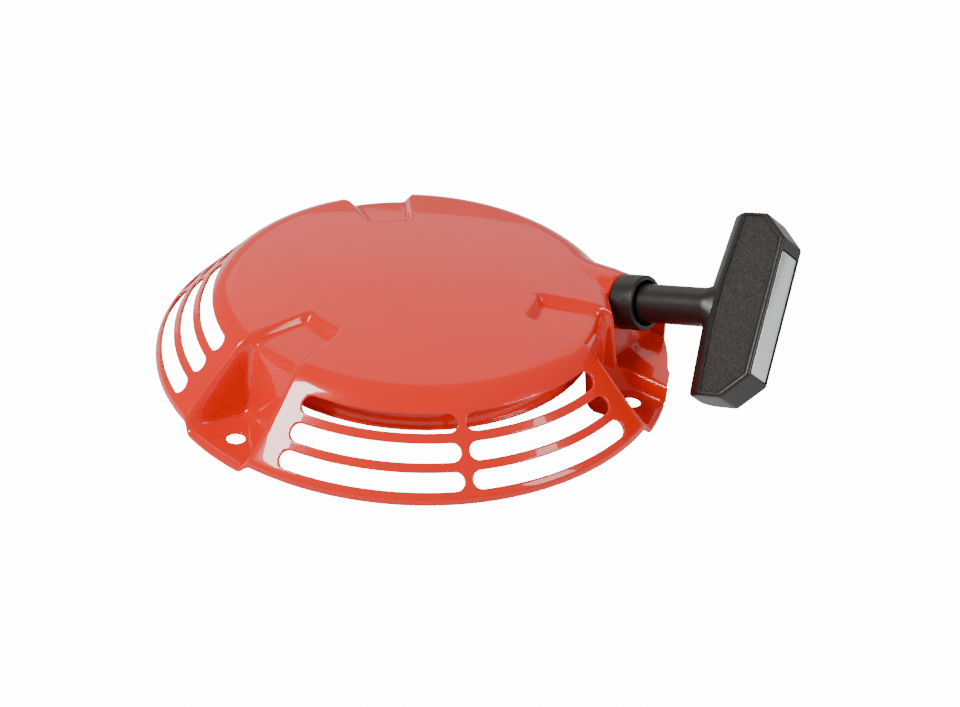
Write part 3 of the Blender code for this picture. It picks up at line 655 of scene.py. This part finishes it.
def section_runs(base, first):
    """Azimuth stations from one foot's centre to the next, dense where the surface bends."""
    ramp_step = 0.33 if first > VENT_TIP else 1.15
    runs = [(base, base + BOLT_CELL_HALF, 0.4), (base + BOLT_CELL_HALF, base + 7.8, ramp_step),
            (base + 7.8, base + 11.3, 0.29)]
    if first > VENT_TIP:
        runs += [(base + 11.3, OUTLET_CELL[0], 0.5), (*OUTLET_CELL, 0.5), (OUTLET_CELL[1], base + 33.6, 0.5),
                 (base + 33.6, base + first - CELL_MARGIN, 0.9)]
    else:
        runs += [(base + 11.3, base + first - CELL_MARGIN, 1.06)]
    runs += [(base + first - CELL_MARGIN, base + first + 3.4, 0.5),
             (base + first + 3.4, base + 56.4, 1.5), (base + 56.4, base + VENT_MIDDLE, 0.4),
             (base + VENT_MIDDLE, base + 63.6, 0.4), (base + 63.6, base + 99.4, 1.6),
             (base + 99.4, base + 103.4, 0.5), (base + 103.4, base + 108.7, 1.06),
             (base + 108.7, base + 112.2, 0.29), (base + 112.2, base + 116.8, 1.15),
             (base + 116.8, base + 120.0, 0.4)]
    return runs


def first_slot(base):
    """Degrees from a foot to its first slot, more beside the rope outlet."""
    return OUTLET_VENT_TIP if base == FEET[0] else VENT_TIP


def vent_slots():
    """(start azimuth, end azimuth, cell's left and right edge, end at the bridge) of the slot columns."""
    columns = []
    for base in FEET:
        start, middle, end = base + first_slot(base), base + VENT_MIDDLE, base + 2 * VENT_MIDDLE - VENT_TIP
        columns.append((start, middle, start - CELL_MARGIN, middle, "end"))
        columns.append((middle, end, middle, end + CELL_MARGIN, "start"))
    return columns


class HoleCell:
    """A round-ended hole in the housing: its cell of the grid, and its local flat map."""

    def __init__(self, azimuths, span, half_length, radius, to_local, from_local):
        self.azimuths, self.span = azimuths, span
        self.half_length, self.radius = half_length, radius
        self.to_local, self.from_local = to_local, from_local

    def outline(self, u, v, grow):
        """The point of the hole's edge, grown, that is nearest to (u, v)."""
        cu = np.clip(u, -self.half_length, self.half_length)
        du, dv = u - cu, v
        length = np.maximum(np.hypot(du, dv), 1e-9)
        reach = self.radius + grow
        return cu + du / length * reach, dv / length * reach


def hole_cells():
    """The cells of the vent slots, the bolt holes and the rope's hole in the outlet wall."""
    cells = []
    for start, end, left, right, bridge in vent_slots():
        for radius, span in zip(VENT_ROWS, VENT_SPANS):
            gap = math.degrees(0.5 * VENT_BRIDGE / radius)
            low = start + (gap if bridge == "start" else 0.0)
            high = end - (gap if bridge == "end" else 0.0)
            tip = math.degrees(VENT_HALF / radius)
            middle, scale = 0.5 * (low + high), math.radians(1.0) * radius
            half = (0.5 * (high - low) - tip) * scale
            cells.append(HoleCell(
                (left, right), span, half, VENT_HALF,
                lambda s, a, m=middle, k=scale, r=radius: ((a - m) * k, (s - r) * CONE_STRETCH),
                lambda u, v, m=middle, k=scale, r=radius: (r + v / CONE_STRETCH, m + u / k)))
    for base in FEET:
        def to_plate(s, a, base=base):
            r = PLATE_START_R + (s - PLATE_START_S) * FOOT_STRETCH
            turn = np.radians(a - base)
            return r * np.sin(turn), r * np.cos(turn) - BOLT_PITCH_R

        def from_plate(u, v, base=base):
            r = np.hypot(u, v + BOLT_PITCH_R)
            azimuth = base + np.degrees(np.arctan2(u, v + BOLT_PITCH_R))
            return PLATE_START_S + (r - PLATE_START_R) / FOOT_STRETCH, azimuth
        cells.append(HoleCell((base - BOLT_CELL_HALF, base + BOLT_CELL_HALF), BOLT_SPAN, 0.0, BOLT_HOLE_R,
                              to_plate, from_plate))

    def to_wall(s, a):
        turn = np.radians(a)
        return (s * np.cos(turn) - WALL_POINT[0]) / PULL[2], s * np.sin(turn) - WALL_POINT[1]

    def from_wall(u, v):
        x, y = WALL_POINT[0] + u * PULL[2], WALL_POINT[1] + v
        return np.hypot(x, y), np.degrees(np.arctan2(y, x))
    cells.append(HoleCell(OUTLET_CELL, OUTLET_SPAN, 0.0, OUTLET_HOLE_R, to_wall, from_wall))
    return cells


def build_housing():
    """Pressed sheet: a grid over (profile coordinate, azimuth) for the outer and inner side,
    every hole a set of rings from its grid cell to its outline and through the sheet."""
    runs = []
    for base in FEET:
        runs += section_runs(base, first_slot(base))
    azimuth = stations(*runs)
    azimuth = azimuth[azimuth < FEET[0] + 360.0 - 1e-4]
    rows = stations((1.5, 45.0, 3.6), (45.0, 53.0, 0.9), (53.0, 68.0, 1.5), (68.0, 78.6, 0.53),
                    (78.6, 79.1, 0.5), (79.1, 85.7, 0.74), (85.7, 86.7, 0.5), (86.7, 90.2, 0.7),
                    (90.2, 93.3, 0.78), (93.3, 94.2, 0.9), (94.2, 95.4, 0.6), (95.4, 100.8, 0.68),
                    (100.8, END_S - SHEET / 2, 0.45))
    cols, count = len(azimuth), len(rows)
    rim_turn = np.radians(np.linspace(20, 160, 6))
    half = SHEET / 2
    all_s = np.concatenate((rows, END_S - half * (1 - np.sin(rim_turn)), rows[::-1]))
    all_depth = np.concatenate((np.zeros(count), half * (1 - np.cos(rim_turn)), np.full(count, SHEET)))
    total = len(all_s)
    s_of, a_of = [np.repeat(all_s, cols)], [np.tile(azimuth, total)]
    d_of = [np.repeat(all_depth, cols)]
    keep = np.ones((total - 1, cols), bool)
    used = total * cols
    extra = []

    def col(value):
        return int(np.argmin(np.abs((azimuth - value + 180.0) % 360.0 - 180.0)))

    def row(value):
        return int(np.argmin(np.abs(rows - value)))

    for cell in hole_cells():
        i0, i1 = (col(value) for value in cell.azimuths)
        j0, j1 = (row(value) for value in cell.span)
        if i1 <= i0:
            i1 += cols
        ring_i = np.concatenate((np.full(j1 - j0, i0), np.arange(i0, i1), np.full(j1 - j0, i1),
                                 np.arange(i1, i0, -1)))
        ring_j = np.concatenate((np.arange(j0, j1), np.full(i1 - i0, j1), np.arange(j1, j0, -1),
                                 np.full(i1 - i0, j0)))
        inner_j = total - 1 - ring_j
        columns = np.arange(i0, i1) % cols
        keep[j0:j1, columns] = False
        keep[total - 1 - j1:total - 1 - j0, columns] = False
        turn = azimuth[ring_i % cols]
        turn = turn + 360.0 * (ring_i >= cols)
        turn = cell.azimuths[0] + (turn - cell.azimuths[0] + 180.0) % 360.0 - 180.0
        u0, v0 = cell.to_local(rows[ring_j], turn)
        chain = [ring_j * cols + ring_i % cols]
        u1, v1 = cell.outline(u0, v0, LIP)
        steps = [(u0 + (u1 - u0) * f, v0 + (v1 - v0) * f, 0.0) for f in (0.4, 0.75, 1.0)]
        for angle in np.radians((30.0, 60.0, 90.0)):
            steps.append((*cell.outline(u0, v0, LIP * (1 - math.sin(angle))), LIP * (1 - math.cos(angle))))
        steps += [(u, v, SHEET - d) for u, v, d in steps[::-1]]
        for u, v, depth in steps:
            s, a = cell.from_local(u, v)
            s_of.append(s)
            a_of.append(a)
            d_of.append(np.full(len(s), depth))
            chain.append(np.arange(used, used + len(s)))
            used += len(s)
        chain.append(inner_j * cols + ring_i % cols)
        for a, b in zip(chain[:-1], chain[1:]):
            extra.append(np.stack((a, np.roll(a, -1), np.roll(b, -1), b), -1))

    quads = grid_faces(total, cols).reshape(total - 1, cols, 4)[keep]
    s_all, a_all, d_all = np.concatenate(s_of), np.concatenate(a_of), np.concatenate(d_of)
    points = housing_point(s_all, a_all) - housing_normal(s_all, a_all) * d_all[:, None]
    points = np.concatenate((points, ((0.0, 0.0, APEX_Z), (0.0, 0.0, APEX_Z - SHEET))))
    top, low, last = used, used + 1, (total - 1) * cols
    i = np.arange(cols)
    fans = [np.stack((np.full(cols, top), i, (i + 1) % cols), -1),
            np.stack((np.full(cols, low), last + (i + 1) % cols, last + i), -1)]
    sheet, tips = np.concatenate([quads] + extra), np.concatenate(fans)
    touched = np.unique(np.concatenate((sheet.ravel(), tips.ravel())))
    lookup = np.zeros(len(points), int)
    lookup[touched] = np.arange(len(touched))
    faces = lookup[sheet].tolist() + lookup[tips].tolist()
    case = make_mesh("case_pressed", points[touched], faces, [RED], sharp_angle=180.0)
    dress(case, "housing", "red_paint", "case")


# ---------------------------------------------------------------- guide and grip

def build_rope_guide():
    """Turned collar with a rounded rim, a recess for the grip's nose and a rounded throat."""
    rim, seat = COLLAR_LENGTH, COLLAR_LENGTH - COLLAR_RECESS
    corners = ((2.9, -4.5), (6.5, -4.5), (6.5, 0.0), (COLLAR_R, 0.0), (COLLAR_R, rim), (9.1, rim),
               (8.4, seat), (2.9, seat))
    outline = rounded_outline(corners, (0.6, 0.4, 0.2, 0.4, 1.0, 0.45, 0.8, 1.4), 7)
    points, faces = lathe(outline, 96)
    guide = make_mesh("rope_guide_moulded", along_pull(points, -COLLAR_LENGTH), faces, [NYLON])
    outward(guide)
    dress(guide, "housing", "black_plastic", "rope_guide")


def inset_polygon(corners, distance):
    """A convex polygon whose edges each move in by their own distance."""
    after = np.roll(corners, -1, 0) - corners
    direction = after / np.linalg.norm(after, axis=1)[:, None]
    inward = np.stack((-direction[:, 1], direction[:, 0]), -1)
    centre = corners.mean(0)
    flip = np.sign(np.sum(inward * (centre - corners), 1))
    inward *= flip[:, None]
    offset = np.sum(inward * corners, 1) + distance
    out = []
    for k in range(len(corners)):
        pair = np.stack((inward[k - 1], inward[k]))
        out.append(np.linalg.solve(pair, (offset[k - 1], offset[k])))
    return np.array(out)


PANEL_SIDES = np.array((0.3, 0.5, 1.4, 1.4, 1.4, 0.5, 0.3, 0.3))   # frame width by edge of the bar


def bar_rings():
    """(height, inset, panel inset) from one broad face's panel to the middle plane and on to the
    other: sunk panel, raised frame, quarter-round edge, then the side."""
    top, edge = BAR_HALF_THICK, BAR_EDGE
    panel = [(top - 0.5, edge, 1.15), (top - 0.45, edge, 0.95), (top - 0.12, edge, 0.7), (top, edge, 0.45)]
    turn = np.radians(np.linspace(90, 0, 7))
    rounding = [(top - edge + edge * math.sin(a), edge - edge * math.cos(a), 0.0) for a in turn]
    side = [(n, 0.0, 0.0) for n in (5.8, 5.2, 4.6, 4.0, 3.4, 1.5)]
    half = panel + rounding + side
    return half + [(-n, inset, deep) for n, inset, deep in half[::-1]]


def bar_outline(n, inset, panel):
    """The bar's outline at one height: its inner side slopes away towards the broad faces."""
    slope = BAR_SLOPE * max(0.0, min(1.0, (abs(n) - 3.9) / 3.7)) ** 1.2
    corners = np.array(BAR_CORNERS)
    corners[[0, 1, 6, 7], 0] += slope
    polygon = inset_polygon(corners, inset + panel * PANEL_SIDES)
    radius = max(2.4 - inset - panel, 0.45)
    return rounded_outline(polygon, [radius] * 8, 6)


def build_grip():
    """Bar lofted through its outlines, an oval stem flaring into it, bore, knot pocket and the
    insert's recess."""
    rings, points = bar_rings(), []
    for n, inset, panel in rings:
        outline = bar_outline(n, inset, panel)
        points.append(pull_point(outline[:, 0], outline[:, 1], np.full(len(outline), n)))
    count = len(points[0])
    faces = capped(len(rings), count)
    tags = np.zeros(len(faces), int)
    tags[:count] = 1
    tags[-count - 2:] = 1
    grip = make_mesh("grip_moulded", np.concatenate(points), faces, [NYLON, GRAINED_NYLON], tags)
    outward(grip)

    s = np.concatenate((NOSE_S + NOSE_ROUND * (1 - np.cos(np.linspace(0, math.pi / 2, 5))),
                        np.linspace(-4.0, 24.0, 8), np.linspace(26.0, 38.0, 15), (42.0,)))
    behind = np.clip(1 - (s - NOSE_S) / NOSE_ROUND, 0, 1)
    shrink = NOSE_ROUND * (1 - np.sqrt(1 - behind ** 2))
    flare = 3.6 * (np.clip((s - 26.5) / 8.0, 0, 1)) ** 2.4
    narrow = 1.3 * np.clip((s - 31.0) / 7.0, 0, 1)
    a = np.arange(STEM_SIDES) * (2 * math.pi / STEM_SIDES)
    along = (STEM_R - shrink + flare)[:, None] * np.cos(a)
    out = (STEM_R - shrink - narrow)[:, None] * np.sin(a)
    body = pull_point(np.repeat(s, STEM_SIDES), along.ravel(), out.ravel())
    stem = make_mesh("stem_tool", body, capped(len(s), STEM_SIDES), [NYLON])
    outward(stem)
    boolean(grip, stem, "UNION")

    bore = np.array(((0.0, NOSE_S - 2.0), (3.6, NOSE_S - 2.0), (3.4, NOSE_S), (2.5, NOSE_S + 1.2),
                     (2.5, 44.0), (5.6, 44.0), (5.6, 58.95), (0.0, 58.95)))
    points, faces = lathe(bore, 40, closed=False)
    drill = make_mesh("bore_tool", along_pull(points, 0.0), faces, [NYLON])
    outward(drill)
    boolean(grip, drill, "DIFFERENCE")
    recess = insert_block("recess_tool", 58.8, 62.0, PLATE_HALF_T + 0.4, PLATE_HALF_N + 0.4, 1.0, NYLON)
    boolean(grip, recess, "DIFFERENCE")
    grip.data.shade_smooth()
    grip.data.set_sharp_from_angle(angle=math.radians(38.0))
    dress(grip, "handle", "black_plastic", "grip")

    insert = insert_block("grip_insert", 59.1, 59.9, PLATE_HALF_T, PLATE_HALF_N, 0.8, SILVER)
    mod = insert.modifiers.new("Edge", "BEVEL")
    mod.width, mod.segments = 0.2 * MM, 2
    applied(insert)
    insert.data.shade_smooth()
    insert.data.set_sharp_from_angle(angle=math.radians(50.0))
    dress(insert, "handle", "bright_plate", "grip_plate")


def insert_block(name, inner, outer, half_t, half_n, corner, mat):
    """A thin plate with rounded corners across the pull direction."""
    corners = ((-half_t, -half_n), (half_t, -half_n), (half_t, half_n), (-half_t, half_n))
    outline = rounded_outline(corners, [corner] * 4, 5)
    count = len(outline)
    points = [pull_point(np.full(count, s), outline[:, 0] + PLATE_OFFSET, outline[:, 1])
              for s in (inner, outer)]
    return outward(make_mesh(name, np.concatenate(points), capped(2, count), [mat]))


# ---------------------------------------------------------------- rope

def add_braid_map(obj, sides, lengths):
    """UV map of a swept rope: once round across, millimetres of rope along."""
    layer = obj.data.uv_layers.new(name="braid")
    corner_vertex = np.zeros(len(obj.data.loops), np.int64)
    obj.data.loops.foreach_get("vertex_index", corner_vertex)
    ring, k = corner_vertex // sides, corner_vertex % sides
    u = k / sides
    start = np.zeros(len(obj.data.polygons), np.int64)
    size = np.zeros(len(obj.data.polygons), np.int64)
    obj.data.polygons.foreach_get("loop_start", start)
    obj.data.polygons.foreach_get("loop_total", size)
    owner = np.repeat(np.arange(len(start)), size)
    high = np.zeros(len(start))
    np.maximum.at(high, owner, u)
    u = np.where((high[owner] > 0.6) & (u < 0.3), u + 1.0, u)
    uv = np.stack((u, np.asarray(lengths)[np.minimum(ring, len(lengths) - 1)]), -1)
    layer.data.foreach_set("uv", uv.astype(np.float32).ravel())


def smooth_route(knots, step):
    """A Catmull-Rom curve through the knots, sampled evenly."""
    knots = np.asarray(knots, float)
    before = np.concatenate((2 * knots[:1] - knots[1:2], knots, 2 * knots[-1:] - knots[-2:-1]))
    out = []
    u = np.linspace(0, 1, 24, endpoint=False)[:, None]
    for a, b, c, d in zip(before[:-3], before[1:-2], before[2:-1], before[3:]):
        out.append(0.5 * (2 * b + (c - a) * u + (2 * a - 5 * b + 4 * c - d) * u ** 2
                          + (3 * b - a - 3 * c + d) * u ** 3))
    fine = np.concatenate(out + [knots[-1:]])
    length = np.concatenate(((0.0,), np.cumsum(np.linalg.norm(np.diff(fine, axis=0), axis=1))))
    even = np.linspace(0, length[-1], int(length[-1] / step) + 1)
    return np.stack([np.interp(even, length, fine[:, k]) for k in range(3)], -1), even


def rope_piece(name, path, lengths, sides, radius=ROPE_R):
    """A length of rope swept along a path, with its braid map."""
    points, faces = sweep(path, radius, sides)
    obj = make_mesh(name, points, faces, [ROPE], sharp_angle=60.0)
    add_braid_map(obj, sides, lengths)
    return obj


def build_rope():
    """The wound turns on the reel, the run out through the guide, and the stretch that is drawn
    out, whose rings lie packed in the stem at rest."""
    wall = COLLAR_FACE - PULL * COLLAR_LENGTH
    y = COLLAR_FACE[1]
    throat_s = -9.7
    route = ((23.0, y, 19.2), (34.0, y, 20.6), (46.0, y, 21.9), wall - PULL * 4.5, wall - PULL * 1.5,
             COLLAR_FACE + PULL * throat_s)
    path, lengths = smooth_route(route, 0.8)
    run = rope_piece("rope_run_braided", path, lengths, 16)
    dress(run, "housing", "rope", "rope_run")

    travel, start_s, end_s = 880.0, throat_s + 0.15, 41.0
    t = np.linspace(0, 1, 4001)
    weight = t * t * (3 - 2 * t)
    drawn = (end_s - start_s) * t + travel * weight
    even = np.linspace(0, drawn[-1], 301)
    s = start_s + (end_s - start_s) * np.interp(even, drawn, t)
    s = np.append(s, (42.5, 44.6))
    lengths = np.append(even, (even[-1] + 1.5, even[-1] + 3.6)) + lengths[-1]
    pulled = rope_piece("rope_drawn", COLLAR_FACE + np.outer(s, PULL), lengths, 12)
    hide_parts("grip_rope")
    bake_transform(pulled)

    turns = np.linspace(0, 3.0, 289)
    layer = np.clip((turns - 1.95) / 0.12, 0, 1)
    layer = layer * layer * (3 - 2 * layer)
    radius = 54.0 + 3.2 * layer
    height = 16.7 + 4.2 * np.clip(turns / 1.98, 0, 1) - 2.1 * np.clip((turns - 2.0) / 0.9, 0, 1)
    a = np.radians(200.0) - 2 * math.pi * turns
    wound = np.stack((radius * np.cos(a), radius * np.sin(a), height), -1)
    winding = rope_piece("rope_wound", wound, turns * 2 * math.pi * 55.0, 14, 0.975 * ROPE_R)
    dress(winding, "reel", "rope", "rope_winding")

    for node, body in (("reel_knot", "reel"), ("grip_knot", "handle")):
        low, high = (np.array(corner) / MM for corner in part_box(node))
        dress(tied_knot(node + "_tied", (low + high) / 2, body == "handle"), body, "rope", node)


def tied_knot(name, centre, on_pull):
    """Overhand knot drawn tight: a trefoil line under a thick rope, squeezed into its pocket."""
    a = np.linspace(0, 2 * math.pi, 97)[:-1]
    reach, up = 2.1, 1.5
    x = (np.sin(a) + 2 * np.sin(2 * a)) / 3 * reach
    y = (np.cos(a) - 2 * np.cos(2 * a)) / 3 * reach
    z = -np.sin(3 * a) * up
    line = np.stack((x, y, z), -1)
    if on_pull:
        line = np.outer(line[:, 2], PULL) + np.outer(line[:, 0], LIFT) + np.outer(line[:, 1], SIDE)
    line = np.concatenate((line, line[:1])) + centre
    return rope_piece(name, line, np.linspace(0, 24.0, len(line)), 12, 1.3)


# ---------------------------------------------------------------- reel side

def build_reel_side():
    """Reel, pawls, pins, guide plate and bearing parts with rounded edges, the frame's springs in
    spring steel, a friction spring of round wire and the centre screw with its hexagon."""
    plain = (
        ("rope_reel", "reel_turned", REEL_NYLON, "reel", "reel_plastic", 0.35),
        ("inner_cup", "inner_cup_pressed", RED, "housing", "red_paint", 0.45),
        ("reel_bush", "reel_bush_turned", ZINC, "reel", "zinc_steel", 0.2),
        ("centre_post", "centre_post_turned", ZINC, "housing", "zinc_steel", 0.3),
        ("thrust_washer", "thrust_washer_stamped", ZINC, "housing", "zinc_steel", 0.15),
        ("ratchet_guide", "guide_plate_stamped", ZINC, "guide_plate", "zinc_steel", 0.35),
        ("pawl_1", "pawl_1_sintered", ZINC, "pawl_a", "zinc_steel", 0.4),
        ("pawl_2", "pawl_2_sintered", ZINC, "pawl_b", "zinc_steel", 0.4),
        ("pawl_pin_1", "pawl_pin_1_turned", ZINC, "reel", "zinc_steel", 0.25),
        ("pawl_pin_2", "pawl_pin_2_turned", ZINC, "reel", "zinc_steel", 0.25),
    )
    for node, name, mat, body, slot, width in plain:
        dress(softened(node, name, mat, width), body, slot, node)
    for node in ("recoil_spring", "pawl_spring_1", "pawl_spring_2"):
        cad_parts[node].data.materials.clear()
        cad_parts[node].data.materials.append(SPRING)

    k = np.linspace(0, 1, 110)
    a = 2 * math.pi * 2.6 * k
    path = np.stack(((6.4 + 1.6 * k) * np.cos(a), (6.4 + 1.6 * k) * np.sin(a), 6.4 + 1.4 * k), -1)
    points, faces = sweep(path, 0.45, 12)
    spring = make_mesh("friction_spring_wound", points, faces, [SPRING], sharp_angle=60.0)
    dress(spring, "housing", "spring_steel", "friction_spring")
    build_screw()


def build_screw():
    """Flanged hexagon head and plain shank: rings whose radius follows a hexagon on the head."""
    sides = 72
    a = np.arange(sides) * (2 * math.pi / sides)
    hexagon = np.cos(math.pi / 6) / np.cos((a + math.pi / 6) % (math.pi / 3) - math.pi / 6)
    across = 6.6 * hexagon
    rounded = np.minimum(across, 6.45)
    dome = np.minimum(across, 5.4)
    flange = np.full(sides, 9.5)
    shank = np.full(sides, 3.0)
    rings = [(dome * 0.02, 0.0), (dome * 0.98, 0.0), (rounded * 0.985, 0.5), (rounded, 0.9), (rounded, 3.9),
             (rounded + 0.3, 4.1), (flange - 0.5, 4.35), (flange - 0.1, 4.6), (flange, 4.9),
             (flange - 0.05, 5.4), (flange - 0.3, 5.6), (shank + 0.4, 5.6), (shank, 6.0), (shank, 28.4),
             (shank - 0.6, 29.0), (shank * 0.02, 29.0)]
    points = np.concatenate([np.stack((r * np.cos(a), r * np.sin(a), np.full(sides, z)), -1)
                             for r, z in rings])
    screw = outward(make_mesh("centre_screw_forged", points, capped(len(rings), sides), [ZINC],
                              sharp_angle=35.0))
    dress(screw, "housing", "zinc_steel", "centre_screw")


# ---------------------------------------------------------------- studio

CAMERA_DISTANCE, CAMERA_RIGHT, CAMERA_UP = 1037.0, 27.0, 1.7
CAMERA_ELEVATION, CAMERA_ROLL = math.radians(33.35), math.radians(3.79)
CAMERA_TURN, CAMERA_LIFT = math.radians(33.9), 2.1
CAMERA_LENS = 97.2


def turned_about_z(v, angle):
    """A vector turned about the crank axis."""
    c, s = math.cos(angle), math.sin(angle)
    return np.array((c * v[0] - s * v[1], s * v[0] + c * v[1], v[2]))


def build_camera():
    """The camera from its elevation, turn and roll; gives its right, up and back directions."""
    back = np.array((0.0, -math.cos(CAMERA_ELEVATION), math.sin(CAMERA_ELEVATION)))
    right = np.array((1.0, 0.0, 0.0))
    up = np.cross(back, right)
    place = back * CAMERA_DISTANCE + right * CAMERA_RIGHT + up * CAMERA_UP
    side = right * math.cos(CAMERA_ROLL) + up * math.sin(CAMERA_ROLL)
    top = up * math.cos(CAMERA_ROLL) - right * math.sin(CAMERA_ROLL)
    columns = [turned_about_z(v, CAMERA_TURN) for v in (side, top, back)]
    place = turned_about_z(place, CAMERA_TURN) + np.array((0.0, 0.0, CAMERA_LIFT))
    data = bpy.data.cameras.new("camera")
    data.lens, data.sensor_width = CAMERA_LENS, 36.0
    data.clip_start, data.clip_end = 0.01, 50.0
    camera = bpy.data.objects.new("camera", data)
    bpy.context.scene.collection.objects.link(camera)
    matrix = np.eye(4)
    matrix[:3, :3] = np.stack(columns, 1)
    matrix[:3, 3] = place * MM
    camera.matrix_world = Matrix(matrix.tolist())
    bpy.context.scene.camera = camera
    return [Vector(c) for c in columns]


def softbox(name, place, target, size, power):
    """A rectangular light of a size (width, height) in metres, aimed at the target."""
    data = bpy.data.lights.new(name, "AREA")
    data.shape, data.energy = "RECTANGLE", power
    data.size, data.size_y = size
    light = bpy.data.objects.new(name, data)
    bpy.context.scene.collection.objects.link(light)
    light.location = place
    light.rotation_euler = (target - place).to_track_quat("-Z", "Y").to_euler()


FLOOR_HALF, FLOOR_GLOW, WORLD_LIGHT = 6.0, 14.0, 0.42


def build_floor():
    """White paper that glows to the camera only and is clear from below."""
    half, floor_z = FLOOR_HALF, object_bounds()[0][2]
    mesh = bpy.data.meshes.new("floor")
    mesh.from_pydata([(-half, -half, floor_z), (half, -half, floor_z), (half, half, floor_z),
                      (-half, half, floor_z)], [], [(0, 1, 2, 3)])
    floor = bpy.data.objects.new("floor", mesh)
    bpy.context.scene.collection.objects.link(floor)
    paper = bpy.data.materials.new("paper")
    paper.use_nodes = True
    nodes, links = paper.node_tree.nodes, paper.node_tree.links
    shader = nodes["Principled BSDF"]
    shader.inputs["Base Color"].default_value = (0.93, 0.93, 0.93, 1.0)
    shader.inputs["Roughness"].default_value = 0.9
    shader.inputs["Specular IOR Level"].default_value = 0.1
    shader.inputs["Emission Color"].default_value = (1.0, 1.0, 1.0, 1.0)
    camera_ray = nodes.new("ShaderNodeLightPath").outputs["Is Camera Ray"]
    from_below = nodes.new("ShaderNodeNewGeometry").outputs["Backfacing"]
    glow = math_node(nodes, links, "MULTIPLY", camera_ray, FLOOR_GLOW)
    links.new(glow, shader.inputs["Emission Strength"])
    links.new(math_node(nodes, links, "SUBTRACT", 1.0, from_below), shader.inputs["Alpha"])
    mesh.materials.append(paper)


def build_studio():
    """Camera, floor, even white surroundings and three softboxes placed from the camera's view."""
    right, up, back = build_camera()
    build_floor()
    world = bpy.data.worlds.new("studio")
    world.use_nodes = True
    background = world.node_tree.nodes["Background"]
    background.inputs["Color"].default_value = (1.0, 1.0, 1.0, 1.0)
    background.inputs["Strength"].default_value = WORLD_LIGHT
    bpy.context.scene.world = world

    flat_right = Vector((right.x, right.y, 0.0)).normalized()
    flat_back = Vector((back.x, back.y, 0.0)).normalized()
    middle = Vector((0.0, 0.0, 0.02))
    high = Vector((0.0, 0.0, 1.0))
    softbox("far_wall", middle - flat_back * 1.3 + high * 0.95, middle, (2.2, 1.0), 4.5)
    softbox("key_left", middle - flat_right * 0.8 + flat_back * 0.35 + high * 0.85, middle,
            (0.25, 0.35), 12.0)
    softbox("fill_right", middle + flat_right * 1.0 + flat_back * 0.5 + high * 0.6, middle,
            (0.4, 0.4), 5.0)


build_studio()
build_housing()
build_rope_guide()
build_grip()
build_rope()
build_reel_side()
